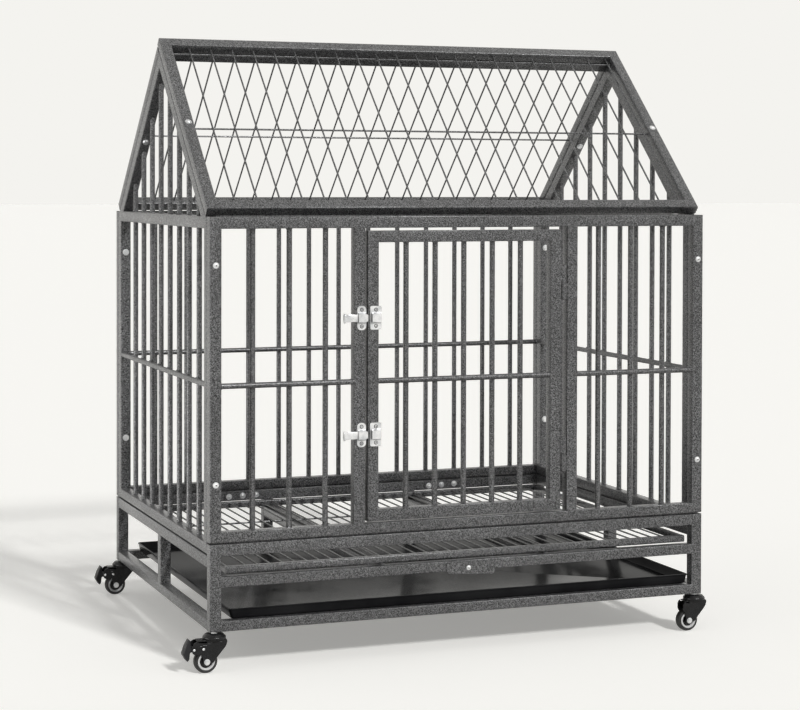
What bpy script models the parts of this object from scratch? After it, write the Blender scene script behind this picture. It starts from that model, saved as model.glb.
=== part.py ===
"""Dog cage: welded square-tube panels with a wire gable roof, a hinged door with two slide bolts,
a pull-out floor grid over a pull-out tray, and four swivel casters.

Metres, +Z up. The origin is on the floor under the centre of the cage's outer box. The front,
with the door, faces -Y.
"""
import math

import bpy
import bmesh
from mathutils import Matrix, Vector

# Driving dimensions
WIDTH = 1.160
DEPTH = 0.870
TUBE = 0.025
GAP = 0.0003
BODY_TOP = 0.950
ROOF_PITCH = math.radians(42.6)
BAR_RADIUS = 0.006
BAR_SIDES = 8
WIRE_RADIUS = 0.002
WIRE_SIDES = 4
ROUNDING = 0.0022
LET_IN = 0.003
THROUGH = 0.010

# The brake pedals stick out to the left, so the frame's middle lies right of the origin
FRAME_CENTRE_X = 0.02225

# Heights in the base
BASE_BOTTOM = 0.085
BOTTOM_RAIL_TOP = 0.107
MID_RAIL = (0.177, 0.199)
FRONT_BASE_TOP = 0.2675
REAR_BASE_TOP = 0.2415
SUPPORT_X = 0.1933
SUPPORT_HEIGHT = 0.023
TRAY_LIP_LENGTH = 1.000
TRAY_LIP_REACH = 0.035
TRAY_LIP_THICK = 0.004
STEM_RADIUS = 0.005
STEM_HOLE_RADIUS = 0.0058
STEM_HOLE_DEPTH = 0.030
REAR_PLATES_X = (-0.262, 0.280)
REAR_PLATE = (0.094, 0.023, 0.002)

# Turn button on the middle rail: its ends are measured from its bolt
BUTTON_PIVOT = (0.002, 0.183)
BUTTON_ENDS = (-0.052, 0.063)
BUTTON_HALF_HEIGHT = 0.0135
BUTTON_THICK = 0.0025
BUTTON_BOLT_RADIUS = 0.0030
BUTTON_BOLT_LENGTH = 0.018

# Wall panels
BAR_PITCH = 0.08065
SIDE_BAR_PITCH = 0.0835
WALL_MID_BAR_Z = 0.597
BAR_AXIS_DEPTH = 0.0155
MID_BAR_DEPTH = 0.0062
MID_BAR_LET_IN = 0.006
GABLE_LET_IN = 0.008
SIDE_BARS = 8
DOOR_BARS = 5
SIDE_LENGTH = DEPTH - 2 * (TUBE + GAP)

# Door opening and door leaf, measured from the frame's middle
OPENING_LEFT = -0.2373
OPENING_RIGHT = 0.2392
DOOR_LEFT = -0.2317
DOOR_RIGHT = 0.2237
DOOR_BOTTOM = 0.2965
DOOR_TOP = 0.9190
HINGE_AXIS = (0.23145, -DEPTH / 2 + 0.003)
HINGE_TOPS = {"upper": 0.840, "lower": 0.458}
KNUCKLE_LENGTH = 0.0385
KNUCKLE_RADIUS = 0.006
LUG_HALF_THICK = 0.0025
PIN_RADIUS = 0.003
PIN_CLEARANCE = 0.0003
PIN_TIP = 0.0008

# Slide bolts
BOLT_HEIGHTS = {"upper": 0.733, "lower": 0.483}
LATCH_PLATE_X = -0.2464
KEEPER_X = -0.2141
BOLT_TIP_X = -0.2330
BOLT_HEIGHT = 0.016
BOLT_THICK = 0.003
LATCH_SHEET = 0.0015
LATCH_TUNNEL = 0.0052
LATCH_PLATE_HALF = (0.01025, 0.0260)
KEEPER_HALF = (0.01315, 0.0255)
BOLT_HANDLE_X = -0.2880
HANDLE_REACH = 0.0095
HANDLE_HALF_HEIGHT = 0.0105
PADLOCK_EYE = (0.0040, 0.00275)

# Roof panels: the eave corner is measured from the cage's centre plane
EAVE_Y = 0.4137
EAVE_Z = BODY_TOP + 0.0187
ROOF_WIRE_PITCH = 0.05035
ROOF_FIRST_WIRE_X = 0.0684 - WIDTH / 2
ROOF_WIRE_COUNT = 22
FRONT_CROSS_WIRES = (0.268, 0.525)
REAR_CROSS_WIRES = (0.258,)

# Pull-out floor grid and tray
GRID_HALF_WIDTH = 0.5425
GRID_DEPTH = 0.822
GRID_BAR = 0.015
GRID_TOP = 0.2180
GRID_WIRE_PITCH = 0.0275
GRID_CROSS_WIRES = 2
GRID_SIDE_BAR = 0.008
GRID_FRONT_SETBACK = 0.012
TRAY_HALF_WIDTH = 0.5445
TRAY_OFFSET = 0.0085
TRAY_DEPTH = 0.825
TRAY_FLOOR_Z = BOTTOM_RAIL_TOP + GAP
TRAY_RIM_Z = 0.130
TRAY_SHEET = 0.0025
TRAY_TAPER = 0.004
TRAY_END_TAPER = 0.002
TRAY_FRONT_SETBACK = 0.011

# Casters
WHEEL_RADIUS = 0.025
WHEEL_WIDTH = 0.020
TRAIL = 0.019
HEAD_RADIUS = 0.025
HEAD_TOP = 0.082
HEAD_BOTTOM = 0.0705
FORK_WIDTH = 0.029
FORK_SHEET = 0.0025
AXLE_RADIUS = 0.003
AXLE_CLEARANCE = 0.0003
PEDAL_PIVOT = (-0.0465, 0.0520)
PEDAL_PIN_RADIUS = 0.0020

COLLECTION = "dog_cage"
CUTTERS = "dog_cage_cutters"

# Colour, roughness and metallic value of each finish
FINISHES = {
    "hammered_grey": ((0.115, 0.115, 0.12, 1.0), 0.45, 0.35),
    "bright_zinc": ((0.62, 0.62, 0.62, 1.0), 0.28, 1.0),
    "gloss_black": ((0.012, 0.012, 0.013, 1.0), 0.12, 0.0),
    "black_steel": ((0.02, 0.02, 0.021, 1.0), 0.4, 0.2),
    "black_tyre": ((0.012, 0.012, 0.012, 1.0), 0.7, 0.0),
    "white_hub": ((0.75, 0.75, 0.74, 1.0), 0.4, 0.0),
    "grey_pedal": ((0.06, 0.06, 0.063, 1.0), 0.5, 0.0),
}


def clear_scene():
    """Start from an empty scene."""
    for item in list(bpy.data.objects):
        bpy.data.objects.remove(item, do_unlink=True)


def collection(name):
    """Return the named collection, made and linked on first use."""
    found = bpy.data.collections.get(name)
    if found is None:
        found = bpy.data.collections.new(name)
        bpy.context.scene.collection.children.link(found)
    return found


def finish(name):
    """Return the material of a finish, made on first use."""
    material = bpy.data.materials.get(name)
    if material is None:
        colour, roughness, metallic = FINISHES[name]
        material = bpy.data.materials.new(name)
        material.use_nodes = True
        shader = material.node_tree.nodes["Principled BSDF"]
        shader.inputs["Base Color"].default_value = colour
        shader.inputs["Roughness"].default_value = roughness
        shader.inputs["Metallic"].default_value = metallic
    return material


def link_solid(name, mesh):
    """Put a mesh in the scene as an object of the cutters collection, until publish names it."""
    item = bpy.data.objects.new(name, mesh)
    collection(CUTTERS).objects.link(item)
    item.hide_render = True
    item.display_type = "WIRE"
    return item


def solid(name, bm):
    """Turn a bmesh into an object with its faces outward."""
    bmesh.ops.recalc_face_normals(bm, faces=bm.faces)
    mesh = bpy.data.meshes.new(name)
    bm.to_mesh(mesh)
    bm.free()
    return link_solid(name, mesh)


def publish(item, finish_name, parent, smooth=False):
    """Make a solid one of the cage's parts, with its finish and its parent."""
    collection(CUTTERS).objects.unlink(item)
    collection(COLLECTION).objects.link(item)
    item.hide_render = False
    item.display_type = "TEXTURED"
    item.data.materials.clear()
    item.data.materials.append(finish(finish_name))
    if smooth:
        item.data.shade_smooth()
        item.data.set_sharp_from_angle(angle=math.radians(35))
    if parent is not None:
        world = item.matrix_basis.copy()
        item.parent = parent
        item.matrix_parent_inverse = parent_world(parent).inverted() @ parent_world(root_of(parent))
        item.matrix_basis = world
    return item


def root_of(item):
    """Return the topmost parent of an object."""
    while item.parent is not None:
        item = item.parent
    return item


def parent_world(item):
    """Return an empty's world matrix without waiting for a scene update."""
    if item.parent is None:
        return item.matrix_basis.copy()
    return parent_world(item.parent) @ item.matrix_parent_inverse @ item.matrix_basis


def pivot(name, place, parent):
    """Add an empty on a joint's axis, at a place given in the frame's own coordinates."""
    empty = bpy.data.objects.new(name, None)
    empty.empty_display_size = 0.03
    collection(COLLECTION).objects.link(empty)
    empty.location = place
    if parent is not None:
        empty.parent = parent
        empty.matrix_parent_inverse = parent_world(parent).inverted() @ parent_world(root_of(parent))
    return empty


def box(name, low, high):
    """A cuboid between two opposite corners."""
    low, high = Vector(low), Vector(high)
    bm = bmesh.new()
    size = Matrix.Diagonal((*(high - low), 1.0))
    bmesh.ops.create_cube(bm, size=1.0, matrix=Matrix.Translation((low + high) / 2) @ size)
    return solid(name, bm)


def add_rod(bm, start, end, radius, sides):
    """Add a closed round rod between two points to a bmesh, with a flat to the front."""
    start, end = Vector(start), Vector(end)
    run = end - start
    turn = run.to_track_quat("Z", "Y").to_matrix().to_4x4() @ Matrix.Rotation(math.pi / sides, 4, "Z")
    place = Matrix.Translation((start + end) / 2) @ turn
    bmesh.ops.create_cone(bm, cap_ends=True, segments=sides, radius1=radius, radius2=radius,
                          depth=run.length, matrix=place)


def rods(name, lines, radius, sides):
    """Several rods that don't touch each other, in one object."""
    bm = bmesh.new()
    for start, end in lines:
        add_rod(bm, start, end, radius, sides)
    return solid(name, bm)


def slab(name, loop, low, high, axes):
    """A flat outline drawn on a plane and given a thickness from low to high.

    Axes names the plane: XZ stands facing the front, YZ stands facing the side, XY lies flat.
    """
    curve = bpy.data.curves.new(name, "CURVE")
    curve.dimensions = "2D"
    curve.fill_mode = "BOTH"
    curve.extrude = (high - low) / 2
    spline = curve.splines.new("POLY")
    spline.points.add(len(loop) - 1)
    for point, (across, along) in zip(spline.points, loop):
        point.co = (across, along, 0.0, 1.0)
    spline.use_cyclic_u = True
    flat = bpy.data.objects.new(name, curve)
    collection(CUTTERS).objects.link(flat)
    mesh = bpy.data.meshes.new_from_object(flat.evaluated_get(bpy.context.evaluated_depsgraph_get()))
    bpy.data.objects.remove(flat, do_unlink=True)
    middle = (low + high) / 2
    turns = {
        "XY": Matrix.Translation((0, 0, middle)),
        "XZ": Matrix.Translation((0, middle, 0)) @ Matrix.Rotation(math.pi / 2, 4, "X"),
        "YZ": Matrix.Translation((middle, 0, 0)) @ Matrix(((0, 0, 1, 0), (1, 0, 0, 0),
                                                           (0, 1, 0, 0), (0, 0, 0, 1))),
    }
    bm = bmesh.new()
    bm.from_mesh(mesh)
    bmesh.ops.transform(bm, matrix=turns[axes], verts=bm.verts)
    bmesh.ops.remove_doubles(bm, verts=bm.verts, dist=0.00001)
    bmesh.ops.dissolve_limit(bm, angle_limit=math.radians(0.5), verts=bm.verts, edges=bm.edges)
    return solid(name, bm)


def plate(name, loops, low, high, axes="XZ"):
    """A slab of the first outline, with the other outlines cut through it as windows."""
    item = slab(name, loops[0], low, high, axes)
    windows = [slab("window", loop, low - THROUGH, high + THROUGH, axes) for loop in loops[1:]]
    return cut(item, *windows)


def rectangle(left, right, bottom, top):
    """The four corners of a rectangle."""
    return [(left, bottom), (right, bottom), (right, top), (left, top)]


def arc(centre, radius, start, end, steps):
    """Points along an arc, with angles in degrees."""
    angles = [math.radians(start + (end - start) * step / steps) for step in range(steps + 1)]
    return [(centre[0] + radius * math.cos(a), centre[1] + radius * math.sin(a)) for a in angles]


def rounded(left, right, bottom, top, radius, steps=3):
    """A rectangle with round corners."""
    corners = ((right - radius, top - radius, 0), (left + radius, top - radius, 90),
               (left + radius, bottom + radius, 180), (right - radius, bottom + radius, 270))
    points = []
    for across, along, start in corners:
        points += arc((across, along), radius, start, start + 90, steps)
    return points


def turned(name, profile, steps):
    """A solid turned about the Z axis, from a profile that runs down its outer side.

    A profile that starts off the axis is closed into a ring.
    """
    bm = bmesh.new()
    points = [bm.verts.new((radius, 0, height)) for radius, height in profile]
    for first, second in zip(points, points[1:]):
        bm.edges.new((first, second))
    if profile[0][0] > 0:
        bm.edges.new((points[-1], points[0]))
    mesh = bpy.data.meshes.new(name)
    bm.to_mesh(mesh)
    bm.free()
    item = link_solid(name, mesh)
    screw = item.modifiers.new("turned", "SCREW")
    screw.axis = "Z"
    screw.steps = steps
    screw.render_steps = steps
    screw.use_merge_vertices = True
    screw.merge_threshold = 0.00001
    return flatten(item)


def round_edges(item, width=ROUNDING, segments=1):
    """Round the edges of a tube or sheet."""
    bevel = item.modifiers.new("rounded_edges", "BEVEL")
    bevel.width = width
    bevel.segments = segments
    bevel.limit_method = "ANGLE"
    bevel.angle_limit = math.radians(50)
    return item


def combine(item, tool, operation):
    """Join or cut a solid with another through an exact Boolean."""
    boolean = item.modifiers.new(operation.lower(), "BOOLEAN")
    boolean.operation = operation
    boolean.object = tool
    boolean.solver = "EXACT"
    return item


def weld(item, *pieces):
    """Weld pieces onto a solid."""
    for piece in pieces:
        combine(item, piece, "UNION")
    return item


def cut(item, *cutters):
    """Cut holes in a solid."""
    for cutter in cutters:
        combine(item, cutter, "DIFFERENCE")
    return item


def flatten(item):
    """Turn a solid and its modifiers into a plain mesh."""
    result = bpy.data.meshes.new_from_object(
        item.evaluated_get(bpy.context.evaluated_depsgraph_get()))
    bm = bmesh.new()
    bm.from_mesh(result)
    bmesh.ops.remove_doubles(bm, verts=bm.verts, dist=0.000002)
    bmesh.ops.triangulate(bm, faces=bm.faces)
    bm.to_mesh(result)
    bm.free()
    item.modifiers.clear()
    item.data = result
    return item


# Base frames

def caster_places():
    """Name and place of each corner post's centre."""
    across = (WIDTH - TUBE) / 2
    along = (DEPTH - TUBE) / 2
    return {
        "front_left": (-across, -along),
        "front_right": (across, -along),
        "rear_left": (-across, along),
        "rear_right": (across, along),
    }


def stem_holes(y):
    """Holes up into the two posts at one end, for the caster stems."""
    across = (WIDTH - TUBE) / 2
    lines = [((x, y, BASE_BOTTOM - THROUGH), (x, y, BASE_BOTTOM + STEM_HOLE_DEPTH))
             for x in (-across, across)]
    return rods("stem_holes", lines, STEM_HOLE_RADIUS, 8)


def base_front_frame(parent):
    """Posts and three rails: the grid slides out over the middle rail, the tray under it."""
    half = WIDTH / 2
    inner = half - TUBE
    low, high = -DEPTH / 2, -DEPTH / 2 + TUBE
    loops = [rectangle(-half, half, BASE_BOTTOM, FRONT_BASE_TOP),
             rectangle(-inner, inner, BOTTOM_RAIL_TOP, MID_RAIL[0]),
             rectangle(-inner, inner, MID_RAIL[1], FRONT_BASE_TOP - TUBE)]
    frame = round_edges(plate("base_front_frame", loops, low, high))
    x, z = BUTTON_PIVOT
    bolt_hole = rods("button_bolt_hole", [((x, low - THROUGH, z), (x, low + BUTTON_BOLT_LENGTH, z))],
                     BUTTON_BOLT_RADIUS + GAP, 12)
    cut(frame, stem_holes((low + high) / 2), bolt_hole)
    return publish(flatten(frame), "hammered_grey", parent, smooth=True)


def base_rear_frame(parent):
    """Posts, two intermediate posts that carry the floor supports, two rails and the tray's lip."""
    half = WIDTH / 2
    inner = half - TUBE
    post = TUBE / 2
    low, high = DEPTH / 2 - TUBE, DEPTH / 2
    edges = [-inner, -SUPPORT_X - post, -SUPPORT_X + post, SUPPORT_X - post, SUPPORT_X + post, inner]
    loops = [rectangle(-half, half, BASE_BOTTOM, REAR_BASE_TOP)]
    for left, right in zip(edges[::2], edges[1::2]):
        loops.append(rectangle(left, right, BOTTOM_RAIL_TOP, REAR_BASE_TOP - TUBE))
    frame = round_edges(plate("base_rear_frame", loops, low, high))
    cut(frame, stem_holes((low + high) / 2))
    lip = box("tray_lip", (-TRAY_LIP_LENGTH / 2, low - TRAY_LIP_REACH, BOTTOM_RAIL_TOP - TRAY_LIP_THICK),
              (TRAY_LIP_LENGTH / 2, low + LET_IN, BOTTOM_RAIL_TOP))
    weld(frame, lip)
    return publish(flatten(frame), "hammered_grey", parent, smooth=True)


def base_side_frame(name, side, parent):
    """Two rails and a centre post between the corner posts."""
    reach = SIDE_LENGTH / 2
    post = TUBE / 2
    outer = side * WIDTH / 2
    inner = side * (WIDTH / 2 - TUBE)
    loops = [rectangle(-reach, reach, BASE_BOTTOM, REAR_BASE_TOP),
             rectangle(-reach - THROUGH, -post, BOTTOM_RAIL_TOP, REAR_BASE_TOP - TUBE),
             rectangle(post, reach + THROUGH, BOTTOM_RAIL_TOP, REAR_BASE_TOP - TUBE)]
    frame = plate(name, loops, min(outer, inner), max(outer, inner), "YZ")
    return publish(flatten(round_edges(frame)), "hammered_grey", parent, smooth=True)


def floor_support(name, x, parent):
    """A front-to-back tube under the floor grid, from the middle rail to a rear post."""
    reach = SIDE_LENGTH / 2
    top = MID_RAIL[1]
    tube = round_edges(box(name, (x - TUBE / 2, -reach, top - SUPPORT_HEIGHT), (x + TUBE / 2, reach, top)))
    return publish(flatten(tube), "hammered_grey", parent, smooth=True)


def rear_rail_plate(name, x, parent):
    """A bolted splice plate on the front face of the rear base top rail."""
    middle = REAR_BASE_TOP - TUBE / 2
    face = DEPTH / 2 - TUBE - GAP
    length, height, thick = REAR_PLATE
    outline = rounded(x - length / 2, x + length / 2, middle - height / 2, middle + height / 2, 0.004)
    return publish(flatten(plate(name, [outline], face - thick, face)), "hammered_grey", parent)


# Wall panels

def vertical_bars(places, y, bottom, top):
    """Round bars standing between two rails, let into each."""
    return rods("bars", [((x, y, bottom - LET_IN), (x, y, top + LET_IN)) for x in places],
                BAR_RADIUS, BAR_SIDES)


def front_panel(parent):
    """The front wall: a frame with the door opening and barred sections on both sides."""
    half = WIDTH / 2
    inner = half - TUBE
    bottom = FRONT_BASE_TOP + GAP
    low, high = -DEPTH / 2, -DEPTH / 2 + TUBE
    rails = (bottom + TUBE, BODY_TOP - TUBE)
    sections = [(-inner, OPENING_LEFT - TUBE), (OPENING_RIGHT + TUBE, inner)]
    loops = [rectangle(-half, half, bottom, BODY_TOP),
             rectangle(OPENING_LEFT, OPENING_RIGHT, *rails)]
    loops += [rectangle(left, right, *rails) for left, right in sections]
    frame = round_edges(plate("front_panel", loops, low, high))
    places = [sign * BAR_PITCH * step for sign in (-1, 1) for step in (4, 5, 6)]
    bars = vertical_bars(places, low + BAR_AXIS_DEPTH, *rails)
    mid_bars = rods("mid_bars", [((left - MID_BAR_LET_IN, low + MID_BAR_DEPTH, WALL_MID_BAR_Z),
                                  (right + MID_BAR_LET_IN, low + MID_BAR_DEPTH, WALL_MID_BAR_Z))
                                 for left, right in sections], BAR_RADIUS, BAR_SIDES)
    weld(frame, bars, mid_bars)
    return publish(flatten(frame), "hammered_grey", parent, smooth=True)


def rear_panel(parent):
    """The rear wall: a barred frame with no opening."""
    half = WIDTH / 2
    inner = half - TUBE
    bottom = REAR_BASE_TOP + GAP
    low, high = DEPTH / 2 - TUBE, DEPTH / 2
    rails = (bottom + TUBE, BODY_TOP - TUBE)
    loops = [rectangle(-half, half, bottom, BODY_TOP), rectangle(-inner, inner, *rails)]
    frame = round_edges(plate("rear_panel", loops, low, high))
    bars = vertical_bars([BAR_PITCH * step for step in range(-6, 7)], low + BAR_AXIS_DEPTH, *rails)
    y = low + MID_BAR_DEPTH
    mid_bar = rods("mid_bar", [((-inner - MID_BAR_LET_IN, y, WALL_MID_BAR_Z),
                                (inner + MID_BAR_LET_IN, y, WALL_MID_BAR_Z))], BAR_RADIUS, BAR_SIDES)
    weld(frame, bars, mid_bar)
    return publish(flatten(frame), "hammered_grey", parent, smooth=True)


def roof_line(y, depth):
    """Height of the plane that lies some depth under the roof's upper face, at a place along Y."""
    return EAVE_Z + (EAVE_Y - abs(y)) * math.tan(ROOF_PITCH) - depth / math.cos(ROOF_PITCH)


def roof_line_reach(height, depth):
    """Distance from the middle at which that plane has a height."""
    fall = EAVE_Z - depth / math.cos(ROOF_PITCH) - height
    return EAVE_Y + fall / math.tan(ROOF_PITCH)


def side_panel(name, side, parent):
    """A side wall and its gable, welded as one house-shaped panel, its middle bar on the left."""
    reach = SIDE_LENGTH / 2
    bottom = REAR_BASE_TOP + GAP
    left_face = -WIDTH / 2 if side < 0 else WIDTH / 2 - TUBE
    upper_face = TUBE + GAP
    lower_face = upper_face + TUBE
    foot = roof_line_reach(BODY_TOP, upper_face)
    inner_foot = roof_line_reach(BODY_TOP, lower_face)
    house = [(-reach, bottom), (reach, bottom), (reach, BODY_TOP), (foot, BODY_TOP),
             (0, roof_line(0, upper_face)), (-foot, BODY_TOP), (-reach, BODY_TOP)]
    window = rectangle(-reach + TUBE, reach - TUBE, bottom + TUBE, BODY_TOP - TUBE)
    gable = [(-inner_foot, BODY_TOP), (inner_foot, BODY_TOP), (0, roof_line(0, lower_face))]
    frame = round_edges(plate(name, [house, window, gable], left_face, left_face + TUBE, "YZ"))
    places = [SIDE_BAR_PITCH * (step - (SIDE_BARS - 1) / 2) for step in range(SIDE_BARS)]
    x = left_face + BAR_AXIS_DEPTH
    bars = rods("bars", [((x, y, bottom + TUBE - LET_IN), (x, y, roof_line(y, lower_face) + GABLE_LET_IN))
                         for y in places], BAR_RADIUS, BAR_SIDES)
    x = left_face + MID_BAR_DEPTH
    end = reach - TUBE + MID_BAR_LET_IN
    mid_bar = rods("mid_bar", [((x, -end, WALL_MID_BAR_Z), (x, end, WALL_MID_BAR_Z))],
                   BAR_RADIUS, BAR_SIDES)
    weld(frame, bars, mid_bar)
    return publish(flatten(frame), "hammered_grey", parent, smooth=True)


# Roof

def roof_panel(name, length, cross_wires, rear, parent):
    """A tube frame with straight wires up the slope, which stand on cross wires."""
    half = WIDTH / 2
    loops = [rectangle(-half, half, 0, length),
             rectangle(-half + TUBE, half - TUBE, TUBE, length - TUBE)]
    frame = round_edges(plate(name, loops, -TUBE, 0, "XY"))
    bottom, top = TUBE - LET_IN, length - TUBE + LET_IN
    places = [ROOF_FIRST_WIRE_X + step * ROOF_WIRE_PITCH for step in range(ROOF_WIRE_COUNT)]
    wires = [((x, bottom, -TUBE / 2), (x, top, -TUBE / 2)) for x in places]
    reach = half - TUBE + LET_IN
    depth = TUBE / 2 + WIRE_RADIUS
    across = [((-reach, s, -depth), (reach, s, -depth)) for s in cross_wires]
    weld(frame, rods("roof_wires", wires, WIRE_RADIUS, WIRE_SIDES),
         rods("cross_wires", across, WIRE_RADIUS, WIRE_SIDES))
    flatten(frame)
    frame.location = (0, EAVE_Y if rear else -EAVE_Y, EAVE_Z)
    frame.rotation_euler = (ROOF_PITCH, 0, math.pi if rear else 0)
    return publish(frame, "hammered_grey", parent, smooth=True)


def roof(parent):
    """Two panels: the front one runs just past the ridge, and the rear one butts under it."""
    to_apex = EAVE_Y / math.cos(ROOF_PITCH)
    past_apex = TUBE / math.tan(2 * ROOF_PITCH)
    roof_panel("roof_front_panel", to_apex + past_apex, FRONT_CROSS_WIRES, False, parent)
    short_of_apex = past_apex + TUBE * math.tan(ROOF_PITCH) + 2 * GAP
    roof_panel("roof_rear_panel", to_apex - short_of_apex, REAR_CROSS_WIRES, True, parent)


# Door

def door_leaf(parent):
    """The door: a tube frame with upright bars and a middle bar."""
    low, high = -DEPTH / 2, -DEPTH / 2 + TUBE
    left, right = DOOR_LEFT + TUBE, DOOR_RIGHT - TUBE
    rails = (DOOR_BOTTOM + TUBE, DOOR_TOP - TUBE)
    loops = [rectangle(DOOR_LEFT, DOOR_RIGHT, DOOR_BOTTOM, DOOR_TOP), rectangle(left, right, *rails)]
    frame = round_edges(plate("door", loops, low, high))
    spacing = (right - left) / (DOOR_BARS + 1)
    places = [left + spacing * step for step in range(1, DOOR_BARS + 1)]
    bars = vertical_bars(places, low + BAR_AXIS_DEPTH, *rails)
    y = low + MID_BAR_DEPTH
    mid_bar = rods("mid_bar", [((left - MID_BAR_LET_IN, y, WALL_MID_BAR_Z),
                                (right + MID_BAR_LET_IN, y, WALL_MID_BAR_Z))], BAR_RADIUS, BAR_SIDES)
    weld(frame, bars, mid_bar)
    return publish(flatten(frame), "hammered_grey", parent, smooth=True)


def hinge_lug(x_from, x_to, low, high):
    """The weld between a knuckle and its stile."""
    y = HINGE_AXIS[1]
    return box("hinge_lug", (min(x_from, x_to), y - LUG_HALF_THICK, low),
               (max(x_from, x_to), y + LUG_HALF_THICK, high))


def hinge_door_knuckle(name, top, parent):
    """The upper knuckle, a short tube welded to the door's stile."""
    x, y = HINGE_AXIS
    low = top - KNUCKLE_LENGTH
    barrel = rods(name, [((x, y, low), (x, y, top))], KNUCKLE_RADIUS, 10)
    weld(barrel, hinge_lug(DOOR_RIGHT + GAP, x - LET_IN, low + LET_IN, top - LET_IN))
    bore = rods("knuckle_bore", [((x, y, low - THROUGH), (x, y, top + THROUGH))],
                PIN_RADIUS + PIN_CLEARANCE, 10)
    cut(barrel, bore)
    return publish(flatten(barrel), "hammered_grey", parent, smooth=True)


def hinge_frame_knuckle(name, top, parent):
    """The lower knuckle, welded to the frame's stile, with the pin that stands up through both."""
    x, y = HINGE_AXIS
    low = top - KNUCKLE_LENGTH
    barrel = rods(name, [((x, y, low), (x, y, top))], KNUCKLE_RADIUS, 10)
    weld(barrel, hinge_lug(OPENING_RIGHT - GAP, x + LET_IN, low + LET_IN, top - LET_IN),
         rods("hinge_pin", [((x, y, top - LET_IN), (x, y, top + KNUCKLE_LENGTH + PIN_TIP))],
              PIN_RADIUS, 10))
    return publish(flatten(barrel), "hammered_grey", parent, smooth=True)


def bridge_plate(name, x, z, size, parent):
    """A latch plate with a raised bridge that the bolt slides through."""
    half_width, half_height = size
    back = -DEPTH / 2 - GAP
    face = back - LATCH_SHEET
    sheet = plate(name, [rounded(x - half_width, x + half_width, z - half_height, z + half_height,
                                 half_width * 0.6)], face, back)
    outer = BOLT_HEIGHT / 2 + 0.001 + LATCH_SHEET
    tunnel = BOLT_HEIGHT / 2 + 0.001
    depth = face - LATCH_TUNNEL
    reach = half_width - 0.002
    bridge = round_edges(box("bridge", (x - reach, depth - LATCH_SHEET, z - outer),
                             (x + reach, face + 0.0007, z + outer)), 0.001)
    hollow = box("tunnel", (x - half_width - THROUGH, depth, z - tunnel),
                 (x + half_width + THROUGH, face, z + tunnel))
    cut(weld(sheet, bridge), hollow)
    return publish(flatten(sheet), "bright_zinc", parent, smooth=True)


def slide_bolt(name, z, parent):
    """A flat bolt with a padlock eye and a thumb handle folded out at its left end."""
    face = -DEPTH / 2 - GAP - LATCH_SHEET
    near = face - (LATCH_TUNNEL - BOLT_THICK) / 2
    far = near - BOLT_THICK
    half = BOLT_HEIGHT / 2
    eye_x = BOLT_TIP_X - 0.014
    eye_width, eye_height = PADLOCK_EYE
    tongue = plate(name, [rounded(BOLT_HANDLE_X, BOLT_TIP_X, z - half, z + half, 0.003, 2),
                          rounded(eye_x - eye_width, eye_x + eye_width, z - eye_height, z + eye_height,
                                  0.0027, 2)], far, near)
    thumb = plate("thumb", [rounded(near - HANDLE_REACH, near, z - HANDLE_HALF_HEIGHT,
                                    z + HANDLE_HALF_HEIGHT, 0.004)],
                  BOLT_HANDLE_X - 0.0012, BOLT_HANDLE_X + 0.0018, "YZ")
    weld(tongue, thumb)
    return publish(flatten(tongue), "bright_zinc", parent, smooth=True)


# Pull-out floor

def floor_grid(parent):
    """A flat bar frame with close wires from front to back on a few cross wires."""
    front = -DEPTH / 2 + GRID_FRONT_SETBACK
    rear = front + GRID_DEPTH
    low = GRID_TOP - GRID_BAR
    frame = box("floor_grid", (-GRID_HALF_WIDTH, front, low), (GRID_HALF_WIDTH, rear, GRID_TOP))
    hollow = box("grid_hollow", (-GRID_HALF_WIDTH + GRID_SIDE_BAR, front + GRID_BAR, low - THROUGH),
                 (GRID_HALF_WIDTH - GRID_SIDE_BAR, rear - GRID_BAR, GRID_TOP + THROUGH))
    cut(frame, hollow)
    count = int(GRID_HALF_WIDTH / GRID_WIRE_PITCH)
    wires = rods("grid_wires", [((x * GRID_WIRE_PITCH, front + 0.010, GRID_TOP - 0.003),
                                 (x * GRID_WIRE_PITCH, rear - 0.010, GRID_TOP - 0.003))
                                for x in range(-count + 1, count)], WIRE_RADIUS, 4)
    spacing = (GRID_DEPTH - 2 * GRID_BAR) / (GRID_CROSS_WIRES + 1)
    reach = GRID_HALF_WIDTH - 0.004
    cross = rods("grid_cross_wires", [((-reach, front + GRID_BAR + spacing * step, GRID_TOP - 0.0062),
                                       (reach, front + GRID_BAR + spacing * step, GRID_TOP - 0.0062))
                                      for step in range(1, GRID_CROSS_WIRES + 1)], WIRE_RADIUS, 4)
    runner_low = MID_RAIL[1] + GAP
    runners = [box("grid_runner", (x - 0.004, front + LET_IN, runner_low),
                   (x + 0.004, rear - LET_IN, low + 0.008)) for x in (-SUPPORT_X, SUPPORT_X)]
    weld(frame, cross, wires, *runners)
    return publish(flatten(frame), "hammered_grey", parent, smooth=True)


def tapered_pan(name, low, high, foot_inset, foot_end_inset):
    """A cuboid whose foot is narrower than its top."""
    item = box(name, low, high)
    middle_x, middle_y, middle_z = ((a + b) / 2 for a, b in zip(low, high))
    for vert in item.data.vertices:
        if vert.co.z < middle_z:
            vert.co.x -= math.copysign(foot_inset, vert.co.x - middle_x)
            vert.co.y -= math.copysign(foot_end_inset, vert.co.y - middle_y)
    return item


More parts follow.
